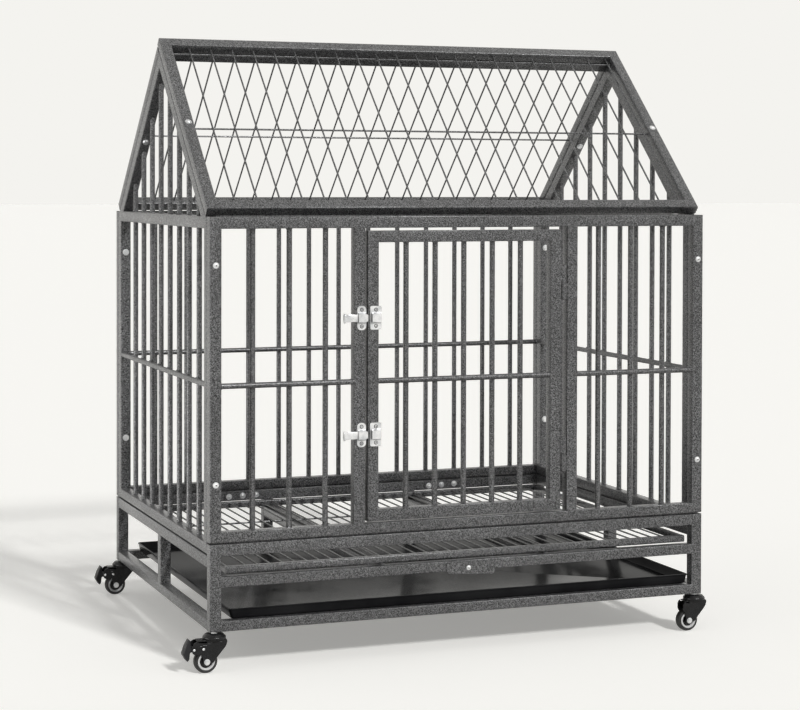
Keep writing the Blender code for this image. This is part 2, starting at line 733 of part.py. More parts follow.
def tray(parent):
    """A shallow pan whose walls lean out from its floor."""
    front = -DEPTH / 2 + TRAY_FRONT_SETBACK
    rear = front + TRAY_DEPTH
    left, right = TRAY_OFFSET - TRAY_HALF_WIDTH, TRAY_OFFSET + TRAY_HALF_WIDTH
    sheet = TRAY_SHEET
    pan = round_edges(tapered_pan("tray", (left, front, TRAY_FLOOR_Z), (right, rear, TRAY_RIM_Z),
                                  TRAY_TAPER, TRAY_END_TAPER), 0.006, 3)
    over = 0.006
    hollow = tapered_pan("tray_hollow", (left + sheet, front + sheet, TRAY_FLOOR_Z + sheet),
                         (right - sheet, rear - sheet, TRAY_RIM_Z + over),
                         TRAY_TAPER, TRAY_END_TAPER)
    return publish(flatten(cut(pan, hollow)), "gloss_black", parent, smooth=True)


def turn_button(parent):
    """A rounded plate that turns on the middle rail to lock the tray or the grid."""
    x, z = BUTTON_PIVOT
    back = -DEPTH / 2 - GAP
    outline = rounded(x + BUTTON_ENDS[0], x + BUTTON_ENDS[1], z - BUTTON_HALF_HEIGHT,
                      z + BUTTON_HALF_HEIGHT, 0.009)
    button = plate("tray_turn_button", [outline], back - BUTTON_THICK, back)
    hole = rods("button_hole", [((x, back - 0.02, z), (x, back + 0.02, z))],
                BUTTON_BOLT_RADIUS + GAP, 12)
    return publish(flatten(cut(button, hole)), "hammered_grey", parent, smooth=True)


def turn_button_bolt(parent):
    """The domed bolt that the button turns on, through the rail's front wall."""
    x, z = BUTTON_PIVOT
    face = -DEPTH / 2 - 2 * GAP - BUTTON_THICK
    profile = [(0, 0.0040), (0.0030, 0.0035), (0.0055, 0.0020), (0.0065, 0), (BUTTON_BOLT_RADIUS, 0),
               (BUTTON_BOLT_RADIUS, -BUTTON_BOLT_LENGTH), (0, -BUTTON_BOLT_LENGTH)]
    bolt = turned("turn_button_bolt", profile, 12)
    bolt.location = (x, face, z)
    bolt.rotation_euler = (math.pi / 2, 0, 0)
    return publish(bolt, "bright_zinc", parent, smooth=True)


# Casters

def caster_mount(name, place, parent):
    """Threaded stem, nut and pressed raceway head, all fixed to the post."""
    stem_top = BASE_BOTTOM + 0.027
    profile = [(0, stem_top), (STEM_RADIUS, stem_top), (STEM_RADIUS, BASE_BOTTOM - GAP),
               (0.0085, BASE_BOTTOM - GAP), (0.0085, HEAD_TOP),
               (HEAD_RADIUS - 0.004, HEAD_TOP - 0.004), (HEAD_RADIUS, HEAD_TOP - 0.008),
               (HEAD_RADIUS, HEAD_BOTTOM), (0, HEAD_BOTTOM)]
    head = turned(name, profile, 12)
    head.location = (place[0], place[1], 0)
    return publish(head, "black_steel", parent, smooth=True)


def fork_outline(brake):
    """Side view of the fork, from the stem's axis, with the wheel trailing to the left.

    A fork with a brake has a housing over the wheel's far side that carries the pedal's pin.
    """
    top = HEAD_BOTTOM - GAP
    boss = arc((-TRAIL, WHEEL_RADIUS), 0.0085, 20, -200, 8)
    front = [(0.0230, top), (0.0250, top - 0.004), (0.0225, 0.0570), (0.0030, 0.0330)]
    if brake:
        rear = [(-0.0290, 0.0400), (-0.0500, 0.0420), (-0.0515, 0.0560), (-0.0470, top - 0.004),
                (-0.0400, top)]
    else:
        rear = [(-0.0290, 0.0400), (-0.0345, 0.0490), (-0.0345, top - 0.007), (-0.0285, top)]
    return front + boss + rear


def caster_fork(name, place, brake, parent):
    """A bent sheet fork: two cheeks and a top, with the axle's holes and the pedal's pin."""
    half = FORK_WIDTH / 2
    top = HEAD_BOTTOM - GAP
    fork = plate(name, [fork_outline(brake)], -half, half)
    slot = box("fork_slot", (-0.08, -half + FORK_SHEET, -0.01), (0.05, half - FORK_SHEET, top - FORK_SHEET))
    axle = rods("axle_hole", [((-TRAIL, -0.03, WHEEL_RADIUS), (-TRAIL, 0.03, WHEEL_RADIUS))],
                AXLE_RADIUS + AXLE_CLEARANCE, 10)
    cut(fork, slot, axle)
    if brake:
        x, z = PEDAL_PIVOT
        weld(fork, rods("pedal_pin", [((x, -half - 0.0012, z), (x, half + 0.0012, z))],
                        PEDAL_PIN_RADIUS, 8))
    flatten(fork)
    fork.location = (place[0], place[1], 0)
    return publish(fork, "black_steel", parent, smooth=True)


def wheel_solid(name, profile, place, finish_name, parent):
    """A turned wheel piece about the axle, which runs along Y."""
    piece = turned(name, profile, 16)
    piece.location = (place[0] - TRAIL, place[1], WHEEL_RADIUS)
    piece.rotation_euler = (math.pi / 2, 0, 0)
    return publish(piece, finish_name, parent, smooth=True)


def caster_wheel(prefix, place, parent):
    """A black tyre on a white hub."""
    half = WHEEL_WIDTH / 2
    rim = 0.0185
    tyre = [(rim, half), (WHEEL_RADIUS - 0.003, half), (WHEEL_RADIUS, half - 0.003),
            (WHEEL_RADIUS, -half + 0.003), (WHEEL_RADIUS - 0.003, -half), (rim, -half)]
    wheel_solid(prefix + "_tyre", tyre, place, "black_tyre", parent)
    bore = AXLE_RADIUS + AXLE_CLEARANCE
    edge = rim - GAP
    dish = half - 0.003
    hub = [(bore, dish), (0.0150, dish), (0.0158, half), (edge, half), (edge, -half),
           (0.0158, -half), (0.0150, -dish), (bore, -dish)]
    wheel_solid(prefix + "_hub", hub, place, "white_hub", parent)


def axle_bolt(name, place, parent):
    """A hexagon bolt through the cheeks and the hub, with its nut on the far side."""
    half = FORK_WIDTH / 2 + GAP
    bolt = rods(name, [((0, -half - 0.004, 0), (0, -half, 0))], 0.0060, 6)
    shank = rods("axle_shank", [((0, -half - 0.001, 0), (0, half + 0.0055, 0))], AXLE_RADIUS, 8)
    nut = rods("axle_nut", [((0, half, 0), (0, half + 0.005, 0))], 0.0060, 6)
    weld(bolt, shank, nut)
    flatten(bolt)
    bolt.location = (place[0] - TRAIL, place[1], WHEEL_RADIUS)
    return publish(bolt, "bright_zinc", parent, smooth=True)


def brake_pedal(name, place, parent):
    """A ribbed foot plate in front of the fork, on an arm between the cheeks."""
    x, z = PEDAL_PIVOT
    width = FORK_WIDTH / 2 - FORK_SHEET - GAP
    eye = arc(PEDAL_PIVOT, 0.0045, 80, -80, 4)
    outline = ([(-0.0555, 0.0730), (-0.0530, 0.0720), (-0.0535, 0.0560)] + eye
               + [(-0.0540, 0.0470), (-0.0560, 0.0310), (-0.0600, 0.0270), (-0.0695, 0.0420),
                  (-0.0630, 0.0600)])
    pedal = plate(name, [outline], -width, width)
    hole = rods("pedal_pin_hole", [((x, -0.02, z), (x, 0.02, z))], PEDAL_PIN_RADIUS + GAP, 8)
    flatten(cut(pedal, hole))
    pedal.location = (place[0], place[1], 0)
    return publish(pedal, "grey_pedal", parent, smooth=True)


def casters(frame):
    """Four swivel casters. The two on the left have a brake pedal."""
    for corner, place in caster_places().items():
        prefix = "caster_" + corner
        brake = corner.endswith("left")
        caster_mount(prefix + "_mount", place, frame)
        swivel = pivot(prefix + "_swivel_axis", (place[0], place[1], HEAD_BOTTOM), frame)
        caster_fork(prefix + "_fork", place, brake, swivel)
        axle_bolt(prefix + "_axle_bolt", place, swivel)
        spin = pivot(prefix + "_axle", (place[0] - TRAIL, place[1], WHEEL_RADIUS), swivel)
        caster_wheel(prefix, place, spin)
        if brake:
            pin = pivot(prefix + "_pedal_axis", (place[0] + PEDAL_PIVOT[0], place[1], PEDAL_PIVOT[1]),
                        swivel)
            brake_pedal(prefix + "_brake_pedal", place, pin)


def base(frame):
    """The base that the walls stand on."""
    base_front_frame(frame)
    base_rear_frame(frame)
    base_side_frame("base_left_frame", -1, frame)
    base_side_frame("base_right_frame", 1, frame)
    floor_support("floor_support_left", -SUPPORT_X, frame)
    floor_support("floor_support_right", SUPPORT_X, frame)
    for side, x in zip(("left", "right"), REAR_PLATES_X):
        rear_rail_plate("rear_rail_plate_" + side, x, frame)


def walls(frame):
    """The four wall panels. Each side panel carries its gable."""
    front_panel(frame)
    rear_panel(frame)
    side_panel("left_side_panel", -1, frame)
    side_panel("right_side_panel", 1, frame)


def door(frame):
    """The door on its two hinges, and its two slide bolts."""
    swing = pivot("door_axis", (HINGE_AXIS[0], HINGE_AXIS[1], DOOR_BOTTOM), frame)
    door_leaf(swing)
    for level, top in HINGE_TOPS.items():
        hinge_door_knuckle("hinge_" + level + "_door_knuckle", top, swing)
        hinge_frame_knuckle("hinge_" + level + "_frame_knuckle", top - KNUCKLE_LENGTH - GAP, frame)
    for level, height in BOLT_HEIGHTS.items():
        bridge_plate("latch_" + level + "_plate", LATCH_PLATE_X, height, LATCH_PLATE_HALF, frame)
        bridge_plate("latch_" + level + "_keeper", KEEPER_X, height, KEEPER_HALF, swing)
        slider = pivot("latch_" + level + "_axis", (LATCH_PLATE_X, -DEPTH / 2, height), frame)
        slide_bolt("latch_" + level + "_bolt", height, slider)


def floor(frame):
    """The grid, the tray and the turn button that holds them in."""
    floor_grid(pivot("grid_slide", (0, -DEPTH / 2, GRID_TOP), frame))
    tray(pivot("tray_slide", (0, -DEPTH / 2, TRAY_RIM_Z), frame))
    turn_button(pivot("button_axis", (BUTTON_PIVOT[0], -DEPTH / 2, BUTTON_PIVOT[1]), frame))
    turn_button_bolt(frame)


def main():
    """Build the cage."""
    clear_scene()
    frame = pivot("cage_centre", (FRAME_CENTRE_X, 0, 0), None)
    base(frame)
    walls(frame)
    roof(frame)
    door(frame)
    floor(frame)
    casters(frame)


main()
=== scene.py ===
"""Dresses the dog cage: hammered paint on its welded tubes, zinc latches, a gloss tray and casters.

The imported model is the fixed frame. Every size that it carries is read from its boxes, and the rest
are fields of the class that makes the piece. Metres, +Z up, the front faces -Y.
"""
import logging
import math
from dataclasses import dataclass, field
from enum import Enum
from typing import Callable, Iterable, Sequence

import bmesh
import bpy
from mathutils import Matrix, Vector


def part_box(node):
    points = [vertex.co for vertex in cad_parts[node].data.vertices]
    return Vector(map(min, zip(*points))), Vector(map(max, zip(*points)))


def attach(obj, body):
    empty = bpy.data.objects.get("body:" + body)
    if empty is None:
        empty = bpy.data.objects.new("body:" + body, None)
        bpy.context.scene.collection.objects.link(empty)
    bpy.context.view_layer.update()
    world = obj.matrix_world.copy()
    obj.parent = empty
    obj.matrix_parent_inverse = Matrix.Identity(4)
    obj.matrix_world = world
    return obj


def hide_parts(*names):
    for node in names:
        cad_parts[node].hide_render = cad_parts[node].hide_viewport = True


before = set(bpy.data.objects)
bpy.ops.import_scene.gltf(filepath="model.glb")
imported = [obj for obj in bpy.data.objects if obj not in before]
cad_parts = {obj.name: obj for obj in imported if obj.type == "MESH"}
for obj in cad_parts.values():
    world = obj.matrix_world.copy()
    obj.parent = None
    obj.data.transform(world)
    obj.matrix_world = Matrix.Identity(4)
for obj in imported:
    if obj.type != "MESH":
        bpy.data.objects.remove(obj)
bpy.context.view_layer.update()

LOG = logging.getLogger("dog_cage")

Line = tuple[Vector, Vector]
Point = tuple[float, float]
Colour = tuple[float, float, float]
Mesh, Material = bpy.types.Mesh, bpy.types.Material
Node, Socket, Tree = bpy.types.Node, bpy.types.NodeSocket, bpy.types.NodeTree

LEFT_AND_RIGHT = (-1, 1)
BEVEL_ANGLE, SHARP_ANGLE = math.radians(50), math.radians(38)
MERGE_DISTANCE, ON_AXIS, SMALLEST_RADIUS = 0.00002, 0.00001, 0.0000001


class Slot(Enum):
    """Material slots of the record."""

    PAINT = "frame_paint"
    ZINC = "zinc"
    TRAY = "tray_black"
    STEEL = "caster_steel"
    TYRE = "tyre"
    HUB = "hub_white"
    PEDAL = "pedal_grey"


class Level(Enum):
    """The two heights at which the door has a hinge and a slide bolt."""

    UPPER = "upper"
    LOWER = "lower"


class Corner(Enum):
    """The four casters."""

    FRONT_LEFT = "front_left"
    FRONT_RIGHT = "front_right"
    REAR_LEFT = "rear_left"
    REAR_RIGHT = "rear_right"

    @property
    def braked(self) -> bool:
        """True for the two casters on the left, which have a brake pedal."""
        return self.value.endswith("left")

    def node(self, part: str) -> str:
        """Return the name of one of the caster's nodes."""
        return "caster_" + self.value + "_" + part


class Plane(Enum):
    """The plane on which a flat outline is drawn."""

    FRONT = "XZ"
    SIDE = "YZ"
    FLOOR = "XY"


class Facing(Enum):
    """Where a bolt head looks, as the turn that takes +Z there."""

    UP = (0.0, 0.0, 0.0)
    DOWN = (math.pi, 0.0, 0.0)
    FRONT = (math.pi / 2, 0.0, 0.0)
    REAR = (-math.pi / 2, 0.0, 0.0)


FLOAT, INTEGER, VECTOR = "NodeSocketFloat", "NodeSocketInt", "NodeSocketVector"


def feed(tree: Tree, socket: Socket, value: object) -> None:
    """Give a socket a plain value, or link it to a socket or to a node's first output."""
    if isinstance(value, Node):
        value = value.outputs[0]
    if isinstance(value, Socket):
        tree.links.new(value, socket)
    else:
        socket.default_value = value


class NodeTree:
    """A node tree built in code, the base of the shader groups and the geometry trees."""

    def __init__(self, name: str, kind: str) -> None:
        """Make the tree of a kind, with its group input and output."""
        self.tree = bpy.data.node_groups.new(name, kind)
        self.source = self.tree.nodes.new("NodeGroupInput")
        self.target = self.tree.nodes.new("NodeGroupOutput")

    def node(self, kind: str, inputs: dict[str | int, object] | None = None,
             **settings: object) -> Node:
        """Add a node, set its properties and fill its inputs.

        Args:
            kind: The node's type name.
            inputs: A plain value, socket or node for an input, by its name or index.
            **settings: Properties of the node.

        Returns:
            The new node.
        """
        made = self.tree.nodes.new(kind)
        for label, value in settings.items():
            setattr(made, label, value)
        for label, value in (inputs or {}).items():
            feed(self.tree, made.inputs[label], value)
        return made

    def given(self, label: str) -> Socket:
        """Return the socket that carries a named input."""
        return self.source.outputs[label]

    def give(self, label: str, value: Socket | Node) -> None:
        """Hand a value to a named output."""
        feed(self.tree, self.target.inputs[label], value)


# Shader node groups


class ShaderGroup(NodeTree):
    """A shader node group with named sockets, built once and used by several finishes."""

    def __init__(self, name: str, inputs: dict[str, float], outputs: Sequence[str]) -> None:
        """Make the empty group.

        Args:
            name: The group's name.
            inputs: Name and default of each number that goes in, besides the Vector.
            outputs: Name of each number that comes out.
        """
        super().__init__(name, "ShaderNodeTree")
        interface = self.tree.interface
        interface.new_socket("Vector", in_out="INPUT", socket_type=VECTOR)
        for label, default in inputs.items():
            socket = interface.new_socket(label, in_out="INPUT", socket_type=FLOAT)
            socket.default_value = default
        for label in outputs:
            interface.new_socket(label, in_out="OUTPUT", socket_type=FLOAT)


def math_node(tree: Tree, operation: str, first: object, second: object = 0.0) -> Socket:
    """Add a Math node whose two values are numbers or sockets.

    Args:
        tree: The node tree.
        operation: The node's operation.
        first: A number or a socket.
        second: A number or a socket.

    Returns:
        The node's output socket.
    """
    made = tree.nodes.new("ShaderNodeMath")
    made.operation = operation
    for socket, value in zip(made.inputs, (first, second)):
        feed(tree, socket, value)
    return made.outputs[0]


def ramp_node(tree: Tree, source: Socket, low: float, high: float) -> Socket:
    """Add a Map Range node that stretches a range of values over 0 to 1.

    Args:
        tree: The node tree.
        source: The value to stretch.
        low: The value that becomes 0.
        high: The value that becomes 1.

    Returns:
        The node's output socket.
    """
    made = tree.nodes.new("ShaderNodeMapRange")
    made.interpolation_type = "SMOOTHSTEP"
    for label, value in (("Value", source), ("From Min", low), ("From Max", high)):
        feed(tree, made.inputs[label], value)
    return made.outputs["Result"]


def mix_colours(tree: Tree, mask: Socket, first: Sequence[float],
                second: Sequence[float]) -> Socket:
    """Add a Mix node for two colours.

    Args:
        tree: The node tree.
        mask: 0 for the first colour, 1 for the second.
        first: First colour.
        second: Second colour.

    Returns:
        The colour's socket.
    """
    mix = tree.nodes.new("ShaderNodeMix")
    mix.data_type = "RGBA"
    factor, colours = mix.inputs[0], mix.inputs[6:8]
    tree.links.new(mask, factor)
    for socket, colour in zip(colours, (first, second)):
        socket.default_value = (*colour, 1.0)
    return mix.outputs[2]


def hammer_marks() -> Tree:
    """Build the group for hammered paint: light winding flecks on a dark ground, with round swells.

    Returns:
        The node group, with outputs Height and Fleck.
    """
    group = ShaderGroup("hammer_marks", {"Scale": 330.0, "Width": 0.085}, ("Height", "Fleck"))
    tree = group.tree
    space = {"Vector": group.given("Vector"), "Scale": group.given("Scale")}
    wave = group.node("ShaderNodeTexNoise",
                      {**space, "Detail": 1.0, "Roughness": 0.5, "Distortion": 0.6})
    cells = group.node("ShaderNodeTexVoronoi", {**space, "Smoothness": 0.6}, feature="SMOOTH_F1")
    away = math_node(tree, "ABSOLUTE", math_node(tree, "SUBTRACT", wave.outputs["Fac"], 0.5))
    share = math_node(tree, "DIVIDE", away, group.given("Width"))
    fleck = math_node(tree, "SUBTRACT", 1.0, ramp_node(tree, share, 0.15, 1.0))
    swell = math_node(tree, "SUBTRACT", 1.0, cells.outputs["Distance"])
    parts = [math_node(tree, "MULTIPLY", part, weight)
             for part, weight in ((swell, 0.5), (fleck, 0.35))]
    group.give("Height", math_node(tree, "ADD", *parts))
    group.give("Fleck", fleck)
    return tree


def handling_marks() -> Tree:
    """Build the group for slow changes of tone over a surface, with a fine grain on top.

    Returns:
        The node group, with outputs Cloud and Grain.
    """
    group = ShaderGroup("handling_marks", {"Cloud Scale": 6.0, "Grain Scale": 900.0},
                        ("Cloud", "Grain"))
    for label in ("Cloud", "Grain"):
        noise = group.node("ShaderNodeTexNoise",
                           {"Vector": group.given("Vector"), "Detail": 3.0,
                            "Scale": group.given(label + " Scale")})
        group.give(label, ramp_node(group.tree, noise.outputs["Fac"], 0.3, 0.7))
    return group.tree


def brush_marks() -> Tree:
    """Build the group for the fine lines that rolling leaves in sheet metal.

    Returns:
        The node group, with output Line.
    """
    group = ShaderGroup("brush_marks", {"Scale": 400.0}, ("Line",))
    stretch = group.node("ShaderNodeMapping",
                         {"Vector": group.given("Vector"), "Scale": (0.06, 1.0, 1.0)})
    noise = group.node("ShaderNodeTexNoise",
                       {"Vector": stretch, "Detail": 2.0, "Scale": group.given("Scale")})
    group.give("Line", noise.outputs["Fac"])
    return group.tree


GROUPS: dict[str, Tree] = {}


def shared_group(make: Callable[[], Tree]) -> Tree:
    """Return a shader group, made on first use by its function."""
    if make.__name__ not in GROUPS:
        GROUPS[make.__name__] = make()
    return GROUPS[make.__name__]


class Shading:
    """A material under construction, with its Principled shader and Object coordinates."""

    def __init__(self, name: str) -> None:
        """Make the material.

        Args:
            name: The material's name.
        """
        self.material = bpy.data.materials.new(name)
        self.material.use_nodes = True
        self.tree = self.material.node_tree
        self.shader = self.tree.nodes["Principled BSDF"]
        self.place = self.tree.nodes.new("ShaderNodeTexCoord").outputs["Object"]

    def group(self, make: Callable[[], Tree], **values: float) -> Node:
        """Place a shared group, with its values.

        Args:
            make: The function that builds the group.
            **values: Socket values, with _ for a space in the socket's name.

        Returns:
            The group node.
        """
        made = self.tree.nodes.new("ShaderNodeGroup")
        made.node_tree = shared_group(make)
        self.tree.links.new(self.place, made.inputs["Vector"])
        for label, value in values.items():
            made.inputs[label.replace("_", " ")].default_value = value
        return made

    def spread(self, mask: Socket, low: float, high: float) -> Socket:
        """Turn a mask of 0 to 1 into a value from low to high."""
        scaled = math_node(self.tree, "MULTIPLY", mask, high - low)
        return math_node(self.tree, "ADD", scaled, low)

    def bump(self, height: Socket, depth: float, strength: float = 1.0) -> None:
        """Feed a height into the shader's Normal.

        Args:
            height: The height's socket.
            depth: Metres between height 0 and 1.
            strength: Strength of the bump.
        """
        made = self.tree.nodes.new("ShaderNodeBump")
        for label, value in (("Height", height), ("Distance", depth), ("Strength", strength)):
            feed(self.tree, made.inputs[label], value)
        self.set("Normal", made)

    def set(self, label: str, value: object) -> None:
        """Feed a socket of the shader."""
        feed(self.tree, self.shader.inputs[label], value)


# Finishes


@dataclass(frozen=True)
class Finish:
    """A finish whose colour drifts slowly over a surface, and whose gloss varies with a fine grain.

    Each finish of the cage fills in the fields: the two colours between which it drifts, the scale
    of the drift and of the grain, the least and greatest roughness, the mask that spreads them, and
    the depth and strength of the bump.
    """

    name: str
    slot: Slot
    dark: Colour
    light: Colour
    cloud_scale: float
    grain_scale: float
    roughness: tuple[float, float]
    relief: tuple[float, float]
    gloss_mask: str = "Grain"
    shine: float = 0.5
    metal: float = 0.0

    def height(self, look: Shading, tone: Node) -> Socket:
        """Return the height that makes the bump, here the grain of the marks."""
        return tone.outputs["Grain"]

    def build(self) -> Material:
        """Return the material."""
        look = Shading(self.name)
        tone = look.group(handling_marks, Cloud_Scale=self.cloud_scale,
                          Grain_Scale=self.grain_scale)
        look.set("Base Color", mix_colours(look.tree, tone.outputs["Cloud"], self.dark, self.light))
        look.set("Roughness", look.spread(tone.outputs[self.gloss_mask], *self.roughness))
        look.set("Specular IOR Level", self.shine)
        look.set("Metallic", self.metal)
        look.bump(self.height(look, tone), *self.relief)
        return look.material


@dataclass(frozen=True)
class HammeredPaint(Finish):
    """Dark grey powder coat with a hammered surface: light flecks on dark hollows, under a coat."""

    name: str = "hammered_grey_paint"
    slot: Slot = Slot.PAINT
    dark: Colour = (0.006, 0.006, 0.0065)
    light: Colour = (0.26, 0.26, 0.265)
    cloud_scale: float = 5.0
    grain_scale: float = 1400.0
    roughness: tuple[float, float] = (0.50, 0.40)
    relief: tuple[float, float] = (0.00030, 0.75)
    cell_scale: float = 360.0
    fleck_share: tuple[float, float] = (0.78, 1.0)
    flake_metal: tuple[float, float] = (0.05, 0.30)
    coat: tuple[float, float] = (0.44, 0.56)
    coat_roughness: float = 0.22

    def build(self) -> Material:
        """Return the material."""
        look = Shading(self.name)
        marks = look.group(hammer_marks, Scale=self.cell_scale)
        tone = look.group(handling_marks, Cloud_Scale=self.cloud_scale,
                          Grain_Scale=self.grain_scale)
        fleck, cloud = marks.outputs["Fleck"], tone.outputs["Cloud"]
        mask = math_node(look.tree, "MULTIPLY", fleck, look.spread(cloud, *self.fleck_share))
        look.set("Base Color", mix_colours(look.tree, mask, self.dark, self.light))
        look.set("Roughness", look.spread(fleck, *self.roughness))
        look.set("Metallic", look.spread(fleck, *self.flake_metal))
        look.set("Coat Weight", look.spread(cloud, *self.coat))
        look.set("Coat Roughness", self.coat_roughness)
        look.bump(marks.outputs["Height"], *self.relief)
        return look.material


@dataclass(frozen=True)
class BrightZinc(Finish):
    """Zinc-plated pressed steel, with a faint cloudy bloom and fine lines from rolling."""

    name: str = "bright_zinc_plate"
    slot: Slot = Slot.ZINC
    dark: Colour = (0.60, 0.61, 0.62)
    light: Colour = (0.86, 0.86, 0.86)
    cloud_scale: float = 60.0
    grain_scale: float = 1500.0
    roughness: tuple[float, float] = (0.26, 0.42)
    relief: tuple[float, float] = (0.00006, 0.5)
    metal: float = 0.85
    line_scale: float = 700.0

    def height(self, look: Shading, tone: Node) -> Socket:
        """Return the lines from rolling as the height that makes the bump."""
        return look.group(brush_marks, Scale=self.line_scale).outputs["Line"]


@dataclass(frozen=True)
class GlossEnamel(Finish):
    """Black enamel of the tray, nearly smooth, with faint dust on it."""

    name: str = "gloss_black_enamel"
    slot: Slot = Slot.TRAY
    dark: Colour = (0.010, 0.010, 0.011)
    light: Colour = (0.022, 0.022, 0.023)
    cloud_scale: float = 9.0
    grain_scale: float = 260.0
    roughness: tuple[float, float] = (0.12, 0.20)
    relief: tuple[float, float] = (0.00004, 0.25)
    gloss_mask: str = "Cloud"
    shine: float = 0.035


@dataclass(frozen=True)
class PressedSteel(Finish):
    """Black semi-gloss paint on the casters' pressed steel."""

    name: str = "black_pressed_steel"
    slot: Slot = Slot.STEEL
    dark: Colour = (0.0045, 0.0045, 0.005)
    light: Colour = (0.011, 0.011, 0.012)
    cloud_scale: float = 90.0
    grain_scale: float = 1200.0
    roughness: tuple[float, float] = (0.20, 0.32)
    relief: tuple[float, float] = (0.00008, 0.6)
    shine: float = 0.30


@dataclass(frozen=True)
class TyreRubber(Finish):
    """Black rubber, dull, with a little dust."""

    name: str = "black_tyre_rubber"
    slot: Slot = Slot.TYRE
    dark: Colour = (0.008, 0.008, 0.008)
    light: Colour = (0.022, 0.021, 0.020)
    cloud_scale: float = 70.0
    grain_scale: float = 1700.0
    roughness: tuple[float, float] = (0.48, 0.68)
    relief: tuple[float, float] = (0.00010, 0.6)


@dataclass(frozen=True)
class HubPlastic(Finish):
    """White moulded plastic of the wheels' rings."""

    name: str = "white_hub_plastic"
    slot: Slot = Slot.HUB
    dark: Colour = (0.80, 0.80, 0.79)
    light: Colour = (0.88, 0.88, 0.87)
    cloud_scale: float = 50.0
    grain_scale: float = 1300.0
    roughness: tuple[float, float] = (0.34, 0.5)
    relief: tuple[float, float] = (0.00006, 0.5)


@dataclass(frozen=True)
class PedalPlastic(HubPlastic):
    """Dark grey moulded plastic of the brake pedals."""

    name: str = "grey_pedal_plastic"
    slot: Slot = Slot.PEDAL
    dark: Colour = (0.016, 0.016, 0.017)
    light: Colour = (0.032, 0.032, 0.034)
    shine: float = 0.18


PAINT, ZINC, ENAMEL, STEEL = HammeredPaint(), BrightZinc(), GlossEnamel(), PressedSteel()
RUBBER, WHITE_HUB, GREY_PEDAL = TyreRubber(), HubPlastic(), PedalPlastic()
MADE: dict[str, Material] = {}


def material_of(finish: Finish) -> Material:
    """Return the material of a finish, built on first use."""
    if finish.name not in MADE:
        MADE[finish.name] = finish.build()
    return MADE[finish.name]


# Geometry node trees


class GeometryTree(NodeTree):
    """A geometry node tree built in code, with named inputs for its sizes."""

    def __init__(self, name: str, inputs: dict[str, str]) -> None:
        """Make the tree with its sockets.

        Args:
            name: The tree's name.
            inputs: Name and socket type of each input after the geometry.
        """
        super().__init__(name, "GeometryNodeTree")
        self.tree.is_modifier = True
        interface = self.tree.interface
        interface.new_socket("Geometry", in_out="INPUT", socket_type="NodeSocketGeometry")
        interface.new_socket("Geometry", in_out="OUTPUT", socket_type="NodeSocketGeometry")
        self.identifiers = {}
        for label, kind in {**inputs, "Material": "NodeSocketMaterial"}.items():
            socket = interface.new_socket(label, in_out="INPUT", socket_type=kind)
            self.identifiers[label] = socket.identifier

    def close(self, shape: Node) -> None:
        """End the tree after its last shape with Realize Instances and Set Material."""
        realize = self.node("GeometryNodeRealizeInstances", {"Geometry": shape})
        paint = self.node("GeometryNodeSetMaterial",
                          {"Geometry": realize, "Material": self.given("Material")})
        self.give("Geometry", paint)

    def run(self, mesh: Mesh, values: dict[str, object], edge: float = 0.0) -> Mesh:
        """Run the tree on a mesh and return the result as a plain mesh.

        Args:
            mesh: The lines or points that the tree works on.
            values: A value for each named input.
            edge: Width of a bevel on sharp edges, or 0 for none.

        Returns:
            The plain mesh.
        """
        host = bpy.data.objects.new("host", mesh)
        bpy.context.scene.collection.objects.link(host)
        modifier = host.modifiers.new("tree", "NODES")
        modifier.node_group = self.tree
        for label, value in values.items():
            modifier[self.identifiers[label]] = value
        if edge > 0:
            bevel = host.modifiers.new("edge", "BEVEL")
            bevel.width = edge
            bevel.segments = 2
            bevel.limit_method = "ANGLE"
            bevel.angle_limit = BEVEL_ANGLE
        view = bpy.context.evaluated_depsgraph_get()
        result = bpy.data.meshes.new_from_object(host.evaluated_get(view))
        bpy.data.objects.remove(host, do_unlink=True)
        return result


def sweep_tree(name: str, profile: Callable[[GeometryTree], Node],
               inputs: dict[str, str]) -> GeometryTree:
    """Build a tree that sweeps a profile along every line of a mesh.

    Args:
        name: The tree's name.
        profile: Adds the profile's nodes and returns the last of them.
        inputs: The profile's named inputs.

    Returns:
        The tree.
    """
    tree = GeometryTree(name, inputs)
    path = tree.node("GeometryNodeMeshToCurve", {"Mesh": tree.given("Geometry")})
    normal = tree.node("GeometryNodeSetCurveNormal", {"Curve": path}, mode="Z_UP")
    sweep = tree.node("GeometryNodeCurveToMesh",
                      {"Curve": normal, "Profile Curve": profile(tree), "Fill Caps": True})
    smooth = tree.node("GeometryNodeSetShadeSmooth", {"Geometry": sweep})
    tree.close(smooth)
    return tree


def square_profile(tree: GeometryTree) -> Node:
    """Add a rectangle with rounded corners, sized by Across, Along and Corner."""
    shape = tree.node("GeometryNodeCurvePrimitiveQuadrilateral",
                      {"Width": tree.given("Across"), "Height": tree.given("Along")})
    return tree.node("GeometryNodeFilletCurve",
                     {"Curve": shape, "Count": 3, "Radius": tree.given("Corner")}, mode="POLY")


def round_profile(tree: GeometryTree) -> Node:
    """Add a circle, sized by Radius and Sides."""
    return tree.node("GeometryNodeCurvePrimitiveCircle",
                     {"Radius": tree.given("Radius"), "Resolution": tree.given("Sides")})


